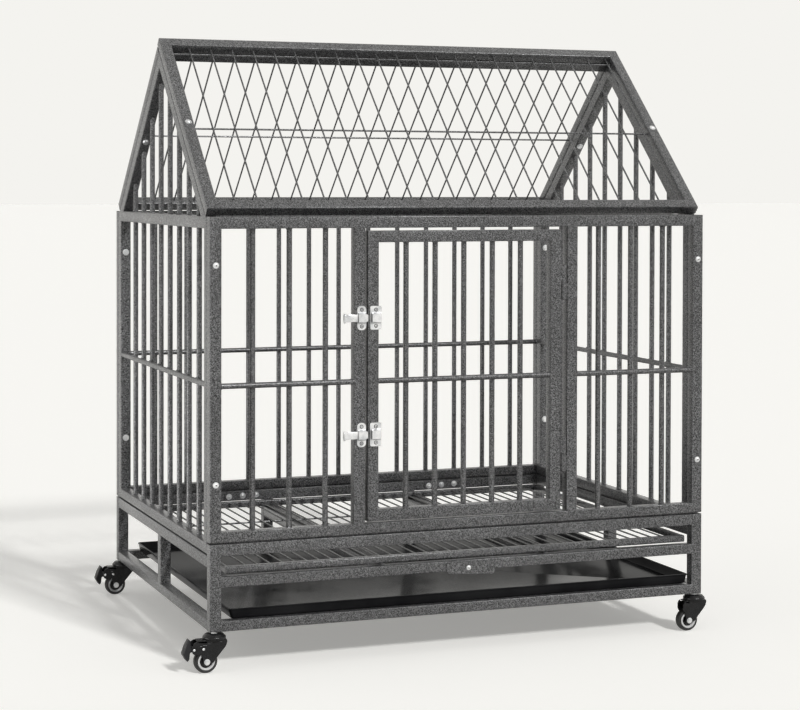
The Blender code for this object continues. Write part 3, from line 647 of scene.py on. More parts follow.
def bead_tree() -> GeometryTree:
    """Build the tree that sets a lumpy weld bead on every point, turned by a fixed seed.

    Returns:
        The tree, with inputs Radius, Stretch and Seed.
    """
    lump_scale, smallest, largest = 420.0, 0.8, 1.15
    tree = GeometryTree("weld_beads", {"Radius": FLOAT, "Stretch": VECTOR, "Seed": INTEGER})
    ball = tree.node("GeometryNodeMeshIcoSphere",
                     {"Radius": tree.given("Radius"), "Subdivisions": 2})
    lump = tree.node("ShaderNodeTexNoise", {"Scale": lump_scale})
    shift = tree.node("ShaderNodeVectorMath", {0: lump.outputs["Color"], 1: (0.5, 0.5, 0.5)},
                      operation="SUBTRACT")
    scale = tree.node("ShaderNodeVectorMath", {0: shift, "Scale": tree.given("Radius")},
                      operation="SCALE")
    size = tree.node("FunctionNodeRandomValue",
                     {2: smallest, 3: largest, "Seed": tree.given("Seed")}, data_type="FLOAT")
    wide = tree.node("ShaderNodeVectorMath", {0: tree.given("Stretch"), "Scale": size.outputs[1]},
                     operation="SCALE")
    place = tree.node("GeometryNodeInstanceOnPoints",
                      {"Points": tree.given("Geometry"), "Instance": ball, "Scale": wide})
    realize = tree.node("GeometryNodeRealizeInstances", {"Geometry": place})
    move = tree.node("GeometryNodeSetPosition", {"Geometry": realize, "Offset": scale})
    smooth = tree.node("GeometryNodeSetShadeSmooth", {"Geometry": move})
    tree.close(smooth)
    return tree


def head_tree() -> GeometryTree:
    """Build the tree that sets a washer and a domed or hexagon head on every point.

    Returns:
        The tree, with inputs Radius, Height, Sides, Dome and Turn.
    """
    washer_wide, washer_thick, dome_flat = 1.25, 0.35, 0.55
    tree = GeometryTree("bolt_heads", {"Radius": FLOAT, "Height": FLOAT, "Sides": INTEGER,
                                       "Dome": FLOAT, "Turn": VECTOR})
    radius, height = tree.given("Radius"), tree.given("Height")
    washer = tree.node("GeometryNodeMeshCylinder",
                       {"Vertices": 20,
                        "Radius": math_node(tree.tree, "MULTIPLY", radius, washer_wide),
                        "Depth": math_node(tree.tree, "MULTIPLY", height, washer_thick)})
    head = tree.node("GeometryNodeMeshCylinder",
                     {"Vertices": tree.given("Sides"), "Radius": radius, "Depth": height})
    dome = tree.node("GeometryNodeMeshUVSphere",
                     {"Segments": 20, "Rings": 10, "Radius": tree.given("Dome")})
    flat = tree.node("GeometryNodeTransform", {"Geometry": dome, "Scale": (1.0, 1.0, dome_flat)})
    lift = tree.node("ShaderNodeCombineXYZ", {"Z": math_node(tree.tree, "MULTIPLY", height, 0.5)})
    join = tree.node("GeometryNodeJoinGeometry", {"Geometry": washer})
    for shape in (head, flat):
        move = tree.node("GeometryNodeTransform", {"Geometry": shape, "Translation": lift})
        feed(tree.tree, join.inputs["Geometry"], move)
    place = tree.node("GeometryNodeInstanceOnPoints",
                      {"Points": tree.given("Geometry"), "Instance": join,
                       "Rotation": tree.given("Turn")})
    tree.close(place)
    return tree


def row_tree() -> GeometryTree:
    """Build the tree that repeats one rod at an even pitch, for wires and ribs.

    Returns:
        The tree, with inputs Count, Pitch, Run, Radius and Sides.
    """
    tree = GeometryTree("row_of_rods", {"Count": INTEGER, "Pitch": VECTOR, "Run": VECTOR,
                                        "Radius": FLOAT, "Sides": INTEGER})
    row = tree.node("GeometryNodeMeshLine",
                    {"Count": tree.given("Count"), "Offset": tree.given("Pitch")})
    wire = tree.node("GeometryNodeCurvePrimitiveLine", {"End": tree.given("Run")})
    rod = tree.node("GeometryNodeCurveToMesh",
                    {"Curve": wire, "Profile Curve": round_profile(tree), "Fill Caps": True})
    inner = tree.node("GeometryNodeInstanceOnPoints", {"Points": row, "Instance": rod})
    outer = tree.node("GeometryNodeInstanceOnPoints",
                      {"Points": tree.given("Geometry"), "Instance": inner})
    tree.close(outer)
    return tree


@dataclass(frozen=True)
class Weld:
    """A weld bead: its radius, and its scale along each axis."""

    radius: float
    stretch: tuple[float, float, float]


@dataclass(frozen=True)
class Head:
    """A bolt head, screw head or nut on its washer.

    It has 6 sides for a hexagon and more for a round head, and a dome on it where dome isn't 0.
    """

    radius: float
    height: float
    sides: int = 20
    dome: float = 0.0


class Workshop:
    """The tools that every sub-assembly shares: swept tubes and bars, beads, heads and rods."""

    corner: float = 0.0024
    cut_edge: float = 0.0010
    no_dome: float = 0.00001

    def __init__(self) -> None:
        """Build the geometry node trees."""
        self.square = sweep_tree("square_tube", square_profile,
                                 {"Across": FLOAT, "Along": FLOAT, "Corner": FLOAT})
        self.round = sweep_tree("round_bar", round_profile, {"Radius": FLOAT, "Sides": INTEGER})
        self.bead = bead_tree()
        self.head = head_tree()
        self.row = row_tree()

    @staticmethod
    def skeleton(lines: Iterable[Line]) -> Mesh:
        """Return a mesh of loose edges, one for each line."""
        points = [tuple(end) for line in lines for end in line]
        mesh = bpy.data.meshes.new("skeleton")
        mesh.from_pydata(points, [(i, i + 1) for i in range(0, len(points), 2)], [])
        return mesh

    @staticmethod
    def dots(points: Iterable[Vector]) -> Mesh:
        """Return a mesh of loose points."""
        mesh = bpy.data.meshes.new("dots")
        mesh.from_pydata([tuple(point) for point in points], [], [])
        return mesh

    def tubes(self, lines: Sequence[Line], across: float, along: float,
              finish: Finish = PAINT) -> Mesh:
        """Sweep square tube along centre lines, across wide and along high."""
        values = {"Across": across, "Along": along, "Corner": self.corner,
                  "Material": material_of(finish)}
        return self.square.run(self.skeleton(lines), values, self.cut_edge)

    def bars(self, lines: Sequence[Line], radius: float, sides: int = 14,
             finish: Finish = PAINT) -> Mesh:
        """Sweep round bar or wire along centre lines."""
        values = {"Radius": radius, "Sides": sides, "Material": material_of(finish)}
        return self.round.run(self.skeleton(lines), values)

    def beads(self, points: Sequence[Vector], weld: Weld, seed: int) -> Mesh:
        """Set weld beads on points, with a seed for their sizes."""
        values = {"Radius": weld.radius, "Stretch": weld.stretch, "Seed": seed,
                  "Material": material_of(PAINT)}
        return self.bead.run(self.dots(points), values)

    def heads(self, points: Sequence[Vector], head: Head, facing: Facing,
              finish: Finish = ZINC) -> Mesh:
        """Set bolt heads, screw heads or nuts on points, all facing one way."""
        values = {"Radius": head.radius, "Height": head.height, "Sides": head.sides,
                  "Dome": max(head.dome, self.no_dome), "Turn": facing.value,
                  "Material": material_of(finish)}
        return self.head.run(self.dots(points), values)

    def rods(self, start: Vector, count: int, pitch: Sequence[float], run: Sequence[float],
             radius: float, sides: int = 8, finish: Finish = PAINT) -> Mesh:
        """Repeat a rod from start on, with a pitch between rods and a run along each."""
        values = {"Count": count, "Pitch": tuple(pitch), "Run": tuple(run), "Radius": radius,
                  "Sides": sides, "Material": material_of(finish)}
        return self.row.run(self.dots([start]), values)


def placed_outline(loop: Iterable[Point], height: float, plane: Plane) -> list[Vector]:
    """Lift a flat outline into space.

    Args:
        loop: Points of the outline.
        height: Place along the plane's normal axis.
        plane: The plane.

    Returns:
        The points.
    """
    if plane is Plane.FRONT:
        return [Vector((a, height, b)) for a, b in loop]
    if plane is Plane.SIDE:
        return [Vector((height, a, b)) for a, b in loop]
    return [Vector((a, b, height)) for a, b in loop]


def arc(centre: Point, radius: float, start: float, end: float, steps: int) -> list[Point]:
    """Return points along an arc, with angles in degrees."""
    angles = [math.radians(start + (end - start) * step / steps) for step in range(steps + 1)]
    return [(centre[0] + radius * math.cos(a), centre[1] + radius * math.sin(a)) for a in angles]


def rounded_rectangle(low: Point, high: Point, radius: float, steps: int = 6) -> list[Point]:
    """Return a rectangle's outline with round corners."""
    corners = ((high[0] - radius, high[1] - radius, 0), (low[0] + radius, high[1] - radius, 90),
               (low[0] + radius, low[1] + radius, 180), (high[0] - radius, low[1] + radius, 270))
    points: list[Point] = []
    for across, along, start in corners:
        points += arc((across, along), radius, start, start + 90, steps)
    return points


def eased(loop: Sequence[Point], radius: float, steps: int = 3) -> list[Point]:
    """Round every corner of an outline.

    Args:
        loop: Corners of the outline.
        radius: Distance from a corner at which the round starts, cut to the edges' lengths.
        steps: Steps in each round.

    Returns:
        The rounded outline.
    """
    points: list[Point] = []
    for before, corner, after in zip([loop[-1], *loop[:-1]], loop, [*loop[1:], loop[0]]):
        here, back, on = Vector(corner), Vector(before), Vector(after)
        reach = min(radius, (back - here).length * 0.45, (on - here).length * 0.45)
        start = here + (back - here).normalized() * reach
        end = here + (on - here).normalized() * reach
        for step in range(steps + 1):
            t = step / steps
            point = start * (1 - t) ** 2 + here * (2 * t * (1 - t)) + end * t ** 2
            points.append((point.x, point.y))
    return points


def loft(rings: Sequence[Sequence[Vector]], closed: bool = False) -> Mesh:
    """Skin rings of equal length, capped at both ends or closed into a ring of rings.

    Args:
        rings: The rings, from one end to the other.
        closed: True to join the last ring to the first.

    Returns:
        The mesh.
    """
    bm = bmesh.new()
    rows = [[bm.verts.new(point) for point in ring] for ring in rings]
    pairs = list(zip(rows, rows[1:])) + ([(rows[-1], rows[0])] if closed else [])
    for first, second in pairs:
        for a, b, c, d in zip(first, first[1:] + first[:1], second[1:] + second[:1], second):
            bm.faces.new((a, b, c, d))
    if not closed:
        bm.faces.new(rows[0])
        bm.faces.new(rows[-1])
    bmesh.ops.remove_doubles(bm, verts=bm.verts, dist=0.000001)
    bmesh.ops.recalc_face_normals(bm, faces=bm.faces)
    mesh = bpy.data.meshes.new("loft")
    bm.to_mesh(mesh)
    bm.free()
    return mesh


def plate(loop: Sequence[Point], low: float, high: float, plane: Plane,
          edge: float = 0.0005) -> Mesh:
    """Give an outline a thickness, with small rounded edges.

    Args:
        loop: The outline.
        low: One face's place along the plane's normal axis.
        high: The other face's place.
        plane: The plane.
        edge: Size of the rounding.

    Returns:
        The mesh.
    """
    middle = Vector((sum(a for a, _ in loop), sum(b for _, b in loop))) / len(loop)
    inner = []
    for across, along in loop:
        spoke = Vector((across, along)) - middle
        spoke -= spoke.normalized() * edge
        inner.append((middle.x + spoke.x, middle.y + spoke.y))
    step = math.copysign(edge, high - low)
    rings = [placed_outline(inner, low, plane), placed_outline(loop, low + step, plane),
             placed_outline(loop, high - step, plane), placed_outline(inner, high, plane)]
    return loft(rings)


def rectangle(left: float, right: float, bottom: float, top: float) -> list[Point]:
    """Return a rectangle's outline."""
    return [(left, bottom), (right, bottom), (right, top), (left, top)]


def framed(loops: Sequence[Sequence[Point]], low: float, high: float, plane: Plane,
           edge: float = 0.0022) -> Mesh:
    """Build a welded tube frame: an outline with windows, a thickness and rounded edges.

    Args:
        loops: The outline, then the windows.
        low: One face's place along the plane's normal axis.
        high: The other face's place.
        plane: The plane.
        edge: Radius of the edges.

    Returns:
        The mesh, closed and with its faces outward.
    """
    curve = bpy.data.curves.new("frame", "CURVE")
    curve.dimensions = "2D"
    curve.fill_mode = "BOTH"
    curve.extrude = (high - low) / 2 - edge
    curve.bevel_depth = edge
    curve.bevel_resolution = 2
    curve.offset = -edge
    for loop in loops:
        spline = curve.splines.new("POLY")
        spline.points.add(len(loop) - 1)
        for point, (across, along) in zip(spline.points, loop):
            point.co = (across, along, 0.0, 1.0)
        spline.use_cyclic_u = True
    host = bpy.data.objects.new("frame", curve)
    mesh = bpy.data.meshes.new_from_object(host)
    bpy.data.objects.remove(host)
    bm = bmesh.new()
    bm.from_mesh(mesh)
    for vert in bm.verts:
        vert.co = placed_outline([(vert.co.x, vert.co.y)], (low + high) / 2 + vert.co.z, plane)[0]
    bmesh.ops.remove_doubles(bm, verts=bm.verts, dist=MERGE_DISTANCE)
    bmesh.ops.recalc_face_normals(bm, faces=bm.faces)
    bm.to_mesh(mesh)
    bm.free()
    return mesh


def turned(profile: Sequence[Point], steps: int, axis: str, centre: Vector) -> Mesh:
    """Turn a profile about an axis.

    Args:
        profile: Radius and distance along the axis, from one end to the other.
        steps: Steps round the axis.
        axis: Y or Z.
        centre: A point on the axis, from which the distances run.

    Returns:
        The mesh, a ring where the profile stays off the axis.
    """
    ring = profile[0][0] > ON_AXIS
    rings = []
    for radius, along in profile:
        radius = max(radius, SMALLEST_RADIUS)
        points = [(radius * math.cos(a), radius * math.sin(a))
                  for a in (2 * math.pi * step / steps for step in range(steps))]
        if axis == "Y":
            rings.append([centre + Vector((a, along, b)) for a, b in points])
        else:
            rings.append([centre + Vector((a, b, along)) for a, b in points])
    return loft(rings, closed=ring)


def cuboid(low: Sequence[float], high: Sequence[float], edge: float = 0.0008) -> Mesh:
    """Return a cuboid with rounded edges between two opposite corners."""
    low_corner, high_corner = Vector(low), Vector(high)
    bm = bmesh.new()
    size = Matrix.Diagonal((*(high_corner - low_corner), 1.0))
    bmesh.ops.create_cube(bm, size=1.0,
                          matrix=Matrix.Translation((low_corner + high_corner) / 2) @ size)
    bmesh.ops.bevel(bm, geom=bm.edges[:], offset=edge, segments=2, profile=0.5, affect="EDGES")
    mesh = bpy.data.meshes.new("cuboid")
    bm.to_mesh(mesh)
    bm.free()
    return mesh


def recess_shade_strokes(centre: Vector, reach: float) -> list[Mesh]:
    """Return two black strokes, just proud of a screw's dome, that paint the shade of its cross
    recess as seen from the front.
    """
    strokes = ((reach, reach * 0.28), (reach * 0.28, reach))
    return [cuboid(centre - Vector((a, 0.0001, b)), centre + Vector((a, 0.0005, b)), 0.0001)
            for a, b in strokes]


class Piece:
    """One finished piece of the cage, gathered from meshes."""

    def __init__(self, name: str, finish: Finish) -> None:
        """Start an empty piece.

        Args:
            name: The piece's name.
            finish: Its main finish.
        """
        self.name = name
        self.finishes: list[Finish] = [finish]
        self.bm = bmesh.new()

    def add(self, *meshes: Mesh, finish: Finish | None = None) -> "Piece":
        """Add meshes in the main finish, or in another one.

        Args:
            *meshes: The meshes.
            finish: Their finish, or None for the main one.

        Returns:
            The piece.
        """
        finish = finish or self.finishes[0]
        if finish not in self.finishes:
            self.finishes.append(finish)
        index = self.finishes.index(finish)
        for mesh in meshes:
            mesh.polygons.foreach_set("material_index", [index] * len(mesh.polygons))
            self.bm.from_mesh(mesh)
            bpy.data.meshes.remove(mesh)
        return self

    def close(self, body: str, *nodes: str) -> bpy.types.Object:
        """Finish the piece.

        Args:
            body: The body that it rides on.
            *nodes: The nodes that it stands for.

        Returns:
            The object, at the origin.
        """
        mesh = bpy.data.meshes.new(self.name)
        self.bm.to_mesh(mesh)
        self.bm.free()
        for finish in self.finishes:
            mesh.materials.append(material_of(finish))
        mesh.shade_smooth()
        mesh.set_sharp_from_angle(angle=SHARP_ANGLE)
        item = bpy.data.objects.new(self.name, mesh)
        bpy.context.scene.collection.objects.link(item)
        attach(item, body)
        if nodes:
            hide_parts(*nodes)
        LOG.info("%s: %d faces on %s", self.name, len(mesh.polygons), body)
        return item


def span(node: str) -> tuple[Vector, Vector]:
    """Return the lowest and highest corner of a node at rest."""
    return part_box(node)


# Sub-assemblies


@dataclass
class WallBars:
    """Sizes that the four walls and the door share, and the strip in the seam under a wall."""

    shop: Workshop
    tube: float = 0.025
    bar_radius: float = 0.0060
    bar_depth: float = 0.0155
    mid_depth: float = 0.0062
    mid_height: float = 0.597
    let_in: float = 0.002
    seam: float = 0.003
    seam_depth: float = 0.007
    seam_lap: float = 0.001
    crossing_in: float = 0.0045
    crossing_up: float = 0.0052
    crossing_weld: Weld = Weld(0.0042, (1.2, 1.0, 0.6))
    foot_weld: Weld = Weld(0.0072, (1.0, 1.0, 0.25))
    end_weld: Weld = Weld(0.0070, (0.25, 1.0, 1.0))

    def packing(self, low: Vector, high: Vector) -> Mesh:
        """Return the strip that stands back in the seam between a panel and the base."""
        inset = self.seam_depth
        return cuboid((low.x + inset, low.y + inset, low.z),
                      (high.x - inset, high.y - inset, low.z + self.seam + self.seam_lap), 0.0004)


@dataclass
class FrontPlaneWall(WallBars):
    """A barred panel that stands in the XZ plane: the front, the rear or the door."""

    pitch: float = 0.08065
    opening: Point = (-0.2373, 0.2392)
    door_bars: int = 5
    front_seed: int = 11
    rear_seed: int = 21
    door_seed: int = 31

    def frame(self, low: Vector, high: Vector, bays: Sequence[Point], foot: float = 0.0) -> Mesh:
        """Return the welded tube frame of a panel.

        Args:
            low: Lowest corner of the panel.
            high: Highest corner of the panel.
            bays: Left and right end of each opening in it.
            foot: Height of the seam under it.

        Returns:
            The mesh.
        """
        rails = (low.z + self.tube, high.z - self.tube)
        loops = [rectangle(low.x, high.x, low.z + foot, high.z)]
        loops += [rectangle(left, right, *rails) for left, right in bays]
        return framed(loops, low.y, high.y, Plane.FRONT)

    def bars(self, piece: Piece, low: Vector, high: Vector, places: Sequence[float],
             spans: Sequence[Point], seed: int) -> None:
        """Add the upright bars, the middle bars across them and their welds.

        Args:
            piece: The piece that takes them.
            low: Lowest corner of the panel.
            high: Highest corner of the panel.
            places: Where the bars stand along X.
            spans: Left and right end of each middle bar.
            seed: Seed of the welds.
        """
        y, front, middle = low.y + self.bar_depth, low.y + self.mid_depth, self.mid_height
        bottom, top = low.z + self.tube - self.let_in, high.z - self.tube + self.let_in
        uprights = [(Vector((x, y, bottom)), Vector((x, y, top))) for x in places]
        across = [(Vector((left - self.let_in, front, middle)),
                   Vector((right + self.let_in, front, middle))) for left, right in spans]
        crossings = [Vector((x, front + self.crossing_in, middle + self.crossing_up))
                     for x in places if any(left < x < right for left, right in spans)]
        feet = [Vector((x, y, z)) for x in places
                for z in (bottom + self.let_in, top - self.let_in)]
        ends = [Vector((x, front, middle)) for pair in spans for x in pair]
        piece.add(self.shop.bars(uprights, self.bar_radius),
                  self.shop.bars(across, self.bar_radius),
                  self.shop.beads(crossings, self.crossing_weld, seed),
                  self.shop.beads(feet, self.foot_weld, seed + 1),
                  self.shop.beads(ends, self.end_weld, seed + 2))

    def front(self) -> None:
        """Build the front wall with its door opening."""
        low, high = span("front_panel")
        centre = (low.x + high.x) / 2
        left, right = centre + self.opening[0], centre + self.opening[1]
        spans = [(low.x + self.tube, left - self.tube), (right + self.tube, high.x - self.tube)]
        frame_mesh = self.frame(low, high, [*spans, (left, right)], self.seam)
        piece = Piece("front_wall", PAINT).add(frame_mesh, self.packing(low, high))
        places = [centre + side * self.pitch * step for side in LEFT_AND_RIGHT
                  for step in (4, 5, 6)]
        self.bars(piece, low, high, places, spans, self.front_seed)
        piece.close("cage", "front_panel")

    def rear(self) -> None:
        """Build the rear wall."""
        low, high = span("rear_panel")
        centre = (low.x + high.x) / 2
        bay = (low.x + self.tube, high.x - self.tube)
        frame_mesh = self.frame(low, high, [bay], self.seam)
        piece = Piece("rear_wall", PAINT).add(frame_mesh, self.packing(low, high))
        places = [centre + self.pitch * step for step in range(-6, 7)]
        self.bars(piece, low, high, places, [bay], self.rear_seed)
        piece.close("cage", "rear_panel")

    def door(self) -> None:
        """Build the door leaf."""
        low, high = span("door")
        left, right = low.x + self.tube, high.x - self.tube
        piece = Piece("door_leaf_frame", PAINT).add(self.frame(low, high, [(left, right)]))
        spacing = (right - left) / (self.door_bars + 1)
        places = [left + spacing * step for step in range(1, self.door_bars + 1)]
        self.bars(piece, low, high, places, [(left, right)], self.door_seed)
        piece.close("door_leaf", "door")

    def build(self) -> None:
        """Build the front wall, the rear wall and the door."""
        self.front()
        self.rear()
        self.door()


@dataclass
class SideWalls(WallBars):
    """The two house-shaped side walls with their gables."""

    bar_pitch: float = 0.0835
    bar_count: int = 8
    eave: Point = (0.4137, 0.9687)
    pitch_angle: float = math.radians(42.6)
    body_top: float = 0.950
    gap: float = 0.0003
    gable_let_in: float = 0.008
    crossing_weld: Weld = Weld(0.0042, (1.0, 1.2, 0.6))
    seed: int = 41

    def roof_height(self, y: float, depth: float) -> float:
        """Return the height, at y, of a plane that lies depth below the roof."""
        rise = (self.eave[0] - abs(y)) * math.tan(self.pitch_angle)
        return self.eave[1] + rise - depth / math.cos(self.pitch_angle)

    def roof_reach(self, depth: float) -> float:
        """Return how far from the middle that plane meets the top of the body."""
        return (self.roof_height(0, depth) - self.body_top) / math.tan(self.pitch_angle)

    def frame(self, low: Vector, high: Vector) -> Mesh:
        """Return the house-shaped frame, with its window and its gable.

        Args:
            low: Lowest corner of the side wall.
            high: Highest corner of the side wall.

        Returns:
            The mesh.
        """
        top, upper = self.body_top, self.tube + self.gap
        foot, inner_foot = self.roof_reach(upper), self.roof_reach(upper + self.tube)
        base = low.z + self.seam
        house = [(low.y, base), (high.y, base), (high.y, top), (foot, top),
                 (0, self.roof_height(0, upper)), (-foot, top), (low.y, top)]
        window = rectangle(low.y + self.tube, high.y - self.tube, low.z + self.tube,
                           top - self.tube)
        gable = [(-inner_foot, top), (inner_foot, top), (0, self.roof_height(0, upper + self.tube))]
        return framed([house, window, gable], low.x, high.x, Plane.SIDE)

    def bars(self, low: Vector, high: Vector) -> list[Mesh]:
        """Return a side wall's upright bars, its middle bar and their welds.

        Args:
            low: Lowest corner of the side wall.
            high: Highest corner of the side wall.

        Returns:
            The meshes.
        """
        x, mid_x, middle = low.x + self.bar_depth, low.x + self.mid_depth, self.mid_height
        places = [self.bar_pitch * (step - (self.bar_count - 1) / 2)
                  for step in range(self.bar_count)]
        under = self.tube * 2 + self.gap
        uprights = [(Vector((x, y, low.z + self.tube - self.let_in)),
                     Vector((x, y, self.roof_height(y, under) + self.gable_let_in)))
                    for y in places]
        across = [(Vector((mid_x, low.y + self.tube - self.let_in, middle)),
                   Vector((mid_x, high.y - self.tube + self.let_in, middle)))]
        crossings = [Vector((mid_x + self.crossing_in, y, middle + self.crossing_up))
                     for y in places]
        feet = [Vector((x, y, z)) for y in places
                for z in (low.z + self.tube, self.body_top - self.tube, self.body_top)]
        return [self.shop.bars(uprights, self.bar_radius),
                self.shop.bars(across, self.bar_radius),
                self.shop.beads(crossings, self.crossing_weld, self.seed),
                self.shop.beads(feet, self.foot_weld, self.seed + 1)]

    def build(self) -> None:
        """Build both side walls."""
        for name in ("left", "right"):
            low, high = span(name + "_side_panel")
            piece = Piece(name + "_side_wall", PAINT)
            piece.add(self.frame(low, high), self.packing(low, high), *self.bars(low, high))
            piece.close("cage", name + "_side_panel")


@dataclass
class Roof:
    """The two wire roof panels."""

    shop: Workshop
    walls: SideWalls
    half_width: float = 0.58
    tube: float = 0.025
    tube_round: float = 0.0038
    ridge_gap: float = 0.0006
    let_in: float = 0.002
    wire_radius: float = 0.0020
    wire_sides: int = 8
    wire_pitch: float = 0.05035
    first_wire: float = 0.0684
    wire_count: int = 22
    cross_wires: dict[str, tuple[float, ...]] = field(
        default_factory=lambda: {"front": (0.268, 0.525), "rear": (0.258,)})
    cross_drop: float = 1.8
    end_weld: Weld = Weld(0.0034, (1.0, 0.8, 1.0))
    joint_weld: Weld = Weld(0.0026, (1.1, 1.0, 0.8))
    seeds: dict[str, int] = field(default_factory=lambda: {"front": 61, "rear": 51})
    bolt_along: float = 0.2725
    bolt: Head = Head(0.0058, 0.0018, dome=0.0052)
    nut: Head = Head(0.0062, 0.0046, 6, 0.0042)

    def lengths(self) -> dict[str, float]:
        """Return the length of each panel up its slope."""
        angle = self.walls.pitch_angle
        to_apex = self.walls.eave[0] / math.cos(angle)
        past = self.tube / math.tan(2 * angle)
        under = self.tube * math.tan(angle)
        return {"front": to_apex + past, "rear": to_apex - past - under - self.ridge_gap}

    def stand(self, rear: bool) -> Matrix:
        """Return a panel's place, with X along the eave, Y up the slope and Z out of the roof."""
        low, high = span("roof_front_panel")
        out, height = self.walls.eave
        foot = Vector(((low.x + high.x) / 2, out if rear else -out, height))
        turn = Matrix.Rotation(math.pi if rear else 0.0, 4, "Z")
        slope = Matrix.Rotation(self.walls.pitch_angle, 4, "X")
        return Matrix.Translation(foot) @ (turn @ slope)

    def panel(self, name: str, length: float) -> list[Mesh]:
        """Return a panel's frame, wires and welds, lying flat.

        Args:
            name: Front or rear.
            length: Its length up the slope.

        Returns:
            The meshes.
        """
        half, middle = self.half_width, -self.tube / 2
        loops = [rectangle(-half, half, 0, length),
                 rectangle(-half + self.tube, half - self.tube, self.tube, length - self.tube)]
        bottom, top = self.tube - self.let_in, length - self.tube + self.let_in
        reach = half - self.tube + self.let_in
        places = [self.first_wire - half + step * self.wire_pitch
                  for step in range(self.wire_count)]
        wires = [(Vector((x, bottom, middle)), Vector((x, top, middle))) for x in places]
        under = middle - self.cross_drop * self.wire_radius
        cross = [(Vector((-reach, along, under)), Vector((reach, along, under)))
                 for along in self.cross_wires[name]]
        ends = [end for line in wires for end in line]
        joints = [Vector((x, along, middle - self.wire_radius))
                  for x in places for along in self.cross_wires[name]]
        seed = self.seeds[name]
        return [framed(loops, -self.tube, 0, Plane.FLOOR, self.tube_round),
                self.shop.bars(wires, self.wire_radius, self.wire_sides),
                self.shop.bars(cross, self.wire_radius, self.wire_sides),
                self.shop.beads(ends, self.end_weld, seed),
                self.shop.beads(joints, self.joint_weld, seed + 1)]

    def bolts(self) -> list[Mesh]:
        """Return the domed bolts through the side members, with a nut under each, lying flat."""
        across = self.half_width - self.tube / 2
        heads = [Vector((x, self.bolt_along, 0.0002)) for x in (-across, across)]
        nuts = [Vector((x, self.bolt_along, -2 * self.tube - 0.0005)) for x in (-across, across)]
        return [self.shop.heads(heads, self.bolt, Facing.UP),
                self.shop.heads(nuts, self.nut, Facing.DOWN)]

    def build(self) -> None:
        """Build both panels with their bolts."""
        for name, length in self.lengths().items():
            stand = self.stand(name == "rear")
            panel, bolts = self.panel(name, length), self.bolts()
            for mesh in (*panel, *bolts):
                mesh.transform(stand)
            Piece(name + "_roof", PAINT).add(*panel).close("cage", "roof_" + name + "_panel")
            Piece(name + "_roof_bolts", ZINC).add(*bolts).close("cage")


@dataclass
class BaseFrame:
    """The base that the walls stand on, with the floor supports and splice plates."""

    shop: Workshop
    tube: float = 0.025
    low_rail: float = 0.022
    mid_rail: Point = (0.177, 0.199)
    support_x: float = 0.1933
    lip_length: float = 1.000
    lip_thick: float = 0.004
    lip_lap: float = 0.004
    support_round: float = 0.0022
    plate_corner: float = 0.004
    bolt_pitch: Point = (0.0355, 0.001)
    bolt_lift: float = 0.0006
    splice_bolt: Head = Head(0.0060, 0.0032, 6, 0.0044)

    def front(self) -> None:
        """Build the front frame with its three rails."""
        low, high = span("base_front_frame")
        left, right = low.x + self.tube, high.x - self.tube
        loops = [rectangle(low.x, high.x, low.z, high.z),
                 rectangle(left, right, low.z + self.low_rail, self.mid_rail[0]),
                 rectangle(left, right, self.mid_rail[1], high.z - self.tube)]
        piece = Piece("front_base", PAINT).add(framed(loops, low.y, high.y, Plane.FRONT))
        piece.close("cage", "base_front_frame")

    def rear(self) -> None:
        """Build the rear frame with its two inner posts and the lip that the tray rests on."""
        low, high = span("base_rear_frame")
        centre, post = (low.x + high.x) / 2, self.tube / 2
        edges = [low.x + self.tube, high.x - self.tube]
        edges += [centre + side * self.support_x + step
                  for side in LEFT_AND_RIGHT for step in (-post, post)]
        edges.sort()
        floor = low.z + self.low_rail
        loops = [rectangle(low.x, high.x, low.z, high.z)]
        loops += [rectangle(a, b, floor, high.z - self.tube)
                  for a, b in zip(edges[::2], edges[1::2])]
        face = high.y - self.tube
        lip = cuboid((centre - self.lip_length / 2, low.y, floor - self.lip_thick),
                     (centre + self.lip_length / 2, face + self.lip_lap, floor))
        piece = Piece("rear_base", PAINT).add(framed(loops, face, high.y, Plane.FRONT), lip)
        piece.close("cage", "base_rear_frame")

    def sides(self) -> None:
        """Build the two side frames, each two rails and a centre post."""
        for name in ("left", "right"):
            low, high = span("base_" + name + "_frame")
            post, under, over = self.tube / 2, low.z + self.low_rail, high.z - self.tube
            loop = [(low.y, low.z), (high.y, low.z), (high.y, under), (post, under), (post, over),
                    (high.y, over), (high.y, high.z), (low.y, high.z), (low.y, over), (-post, over),
                    (-post, under), (low.y, under)]
            piece = Piece(name + "_base", PAINT).add(framed([loop], low.x, high.x, Plane.SIDE))
            piece.close("cage", "base_" + name + "_frame")

    def supports(self) -> None:
        """Build the two floor supports."""
        for name in ("left", "right"):
            low, high = span("floor_support_" + name)
            piece = Piece(name + "_floor_support", PAINT).add(cuboid(low, high, self.support_round))
            piece.close("cage", "floor_support_" + name)

    def splice_plates(self) -> None:
        """Build the two plates on the rear base rail, with three bolts in each."""
        for name in ("left", "right"):
            low, high = span("rear_rail_plate_" + name)
            piece = Piece(name + "_splice_plate", PAINT)
            outline = rounded_rectangle((low.x, low.z), (high.x, high.z), self.plate_corner)
            piece.add(plate(outline, low.y, high.y, Plane.FRONT))
            centre, middle = (low.x + high.x) / 2, (low.z + high.z) / 2
            across, along = self.bolt_pitch
            places = [Vector((centre + step * across, low.y - self.bolt_lift,
                              middle + step * along)) for step in (-1, 0, 1)]
            piece.add(self.shop.heads(places, self.splice_bolt, Facing.FRONT), finish=ZINC)
            piece.close("cage", "rear_rail_plate_" + name)

    def build(self) -> None:
        """Build the whole base."""
        self.front()
        self.rear()
        self.sides()
        self.supports()
        self.splice_plates()


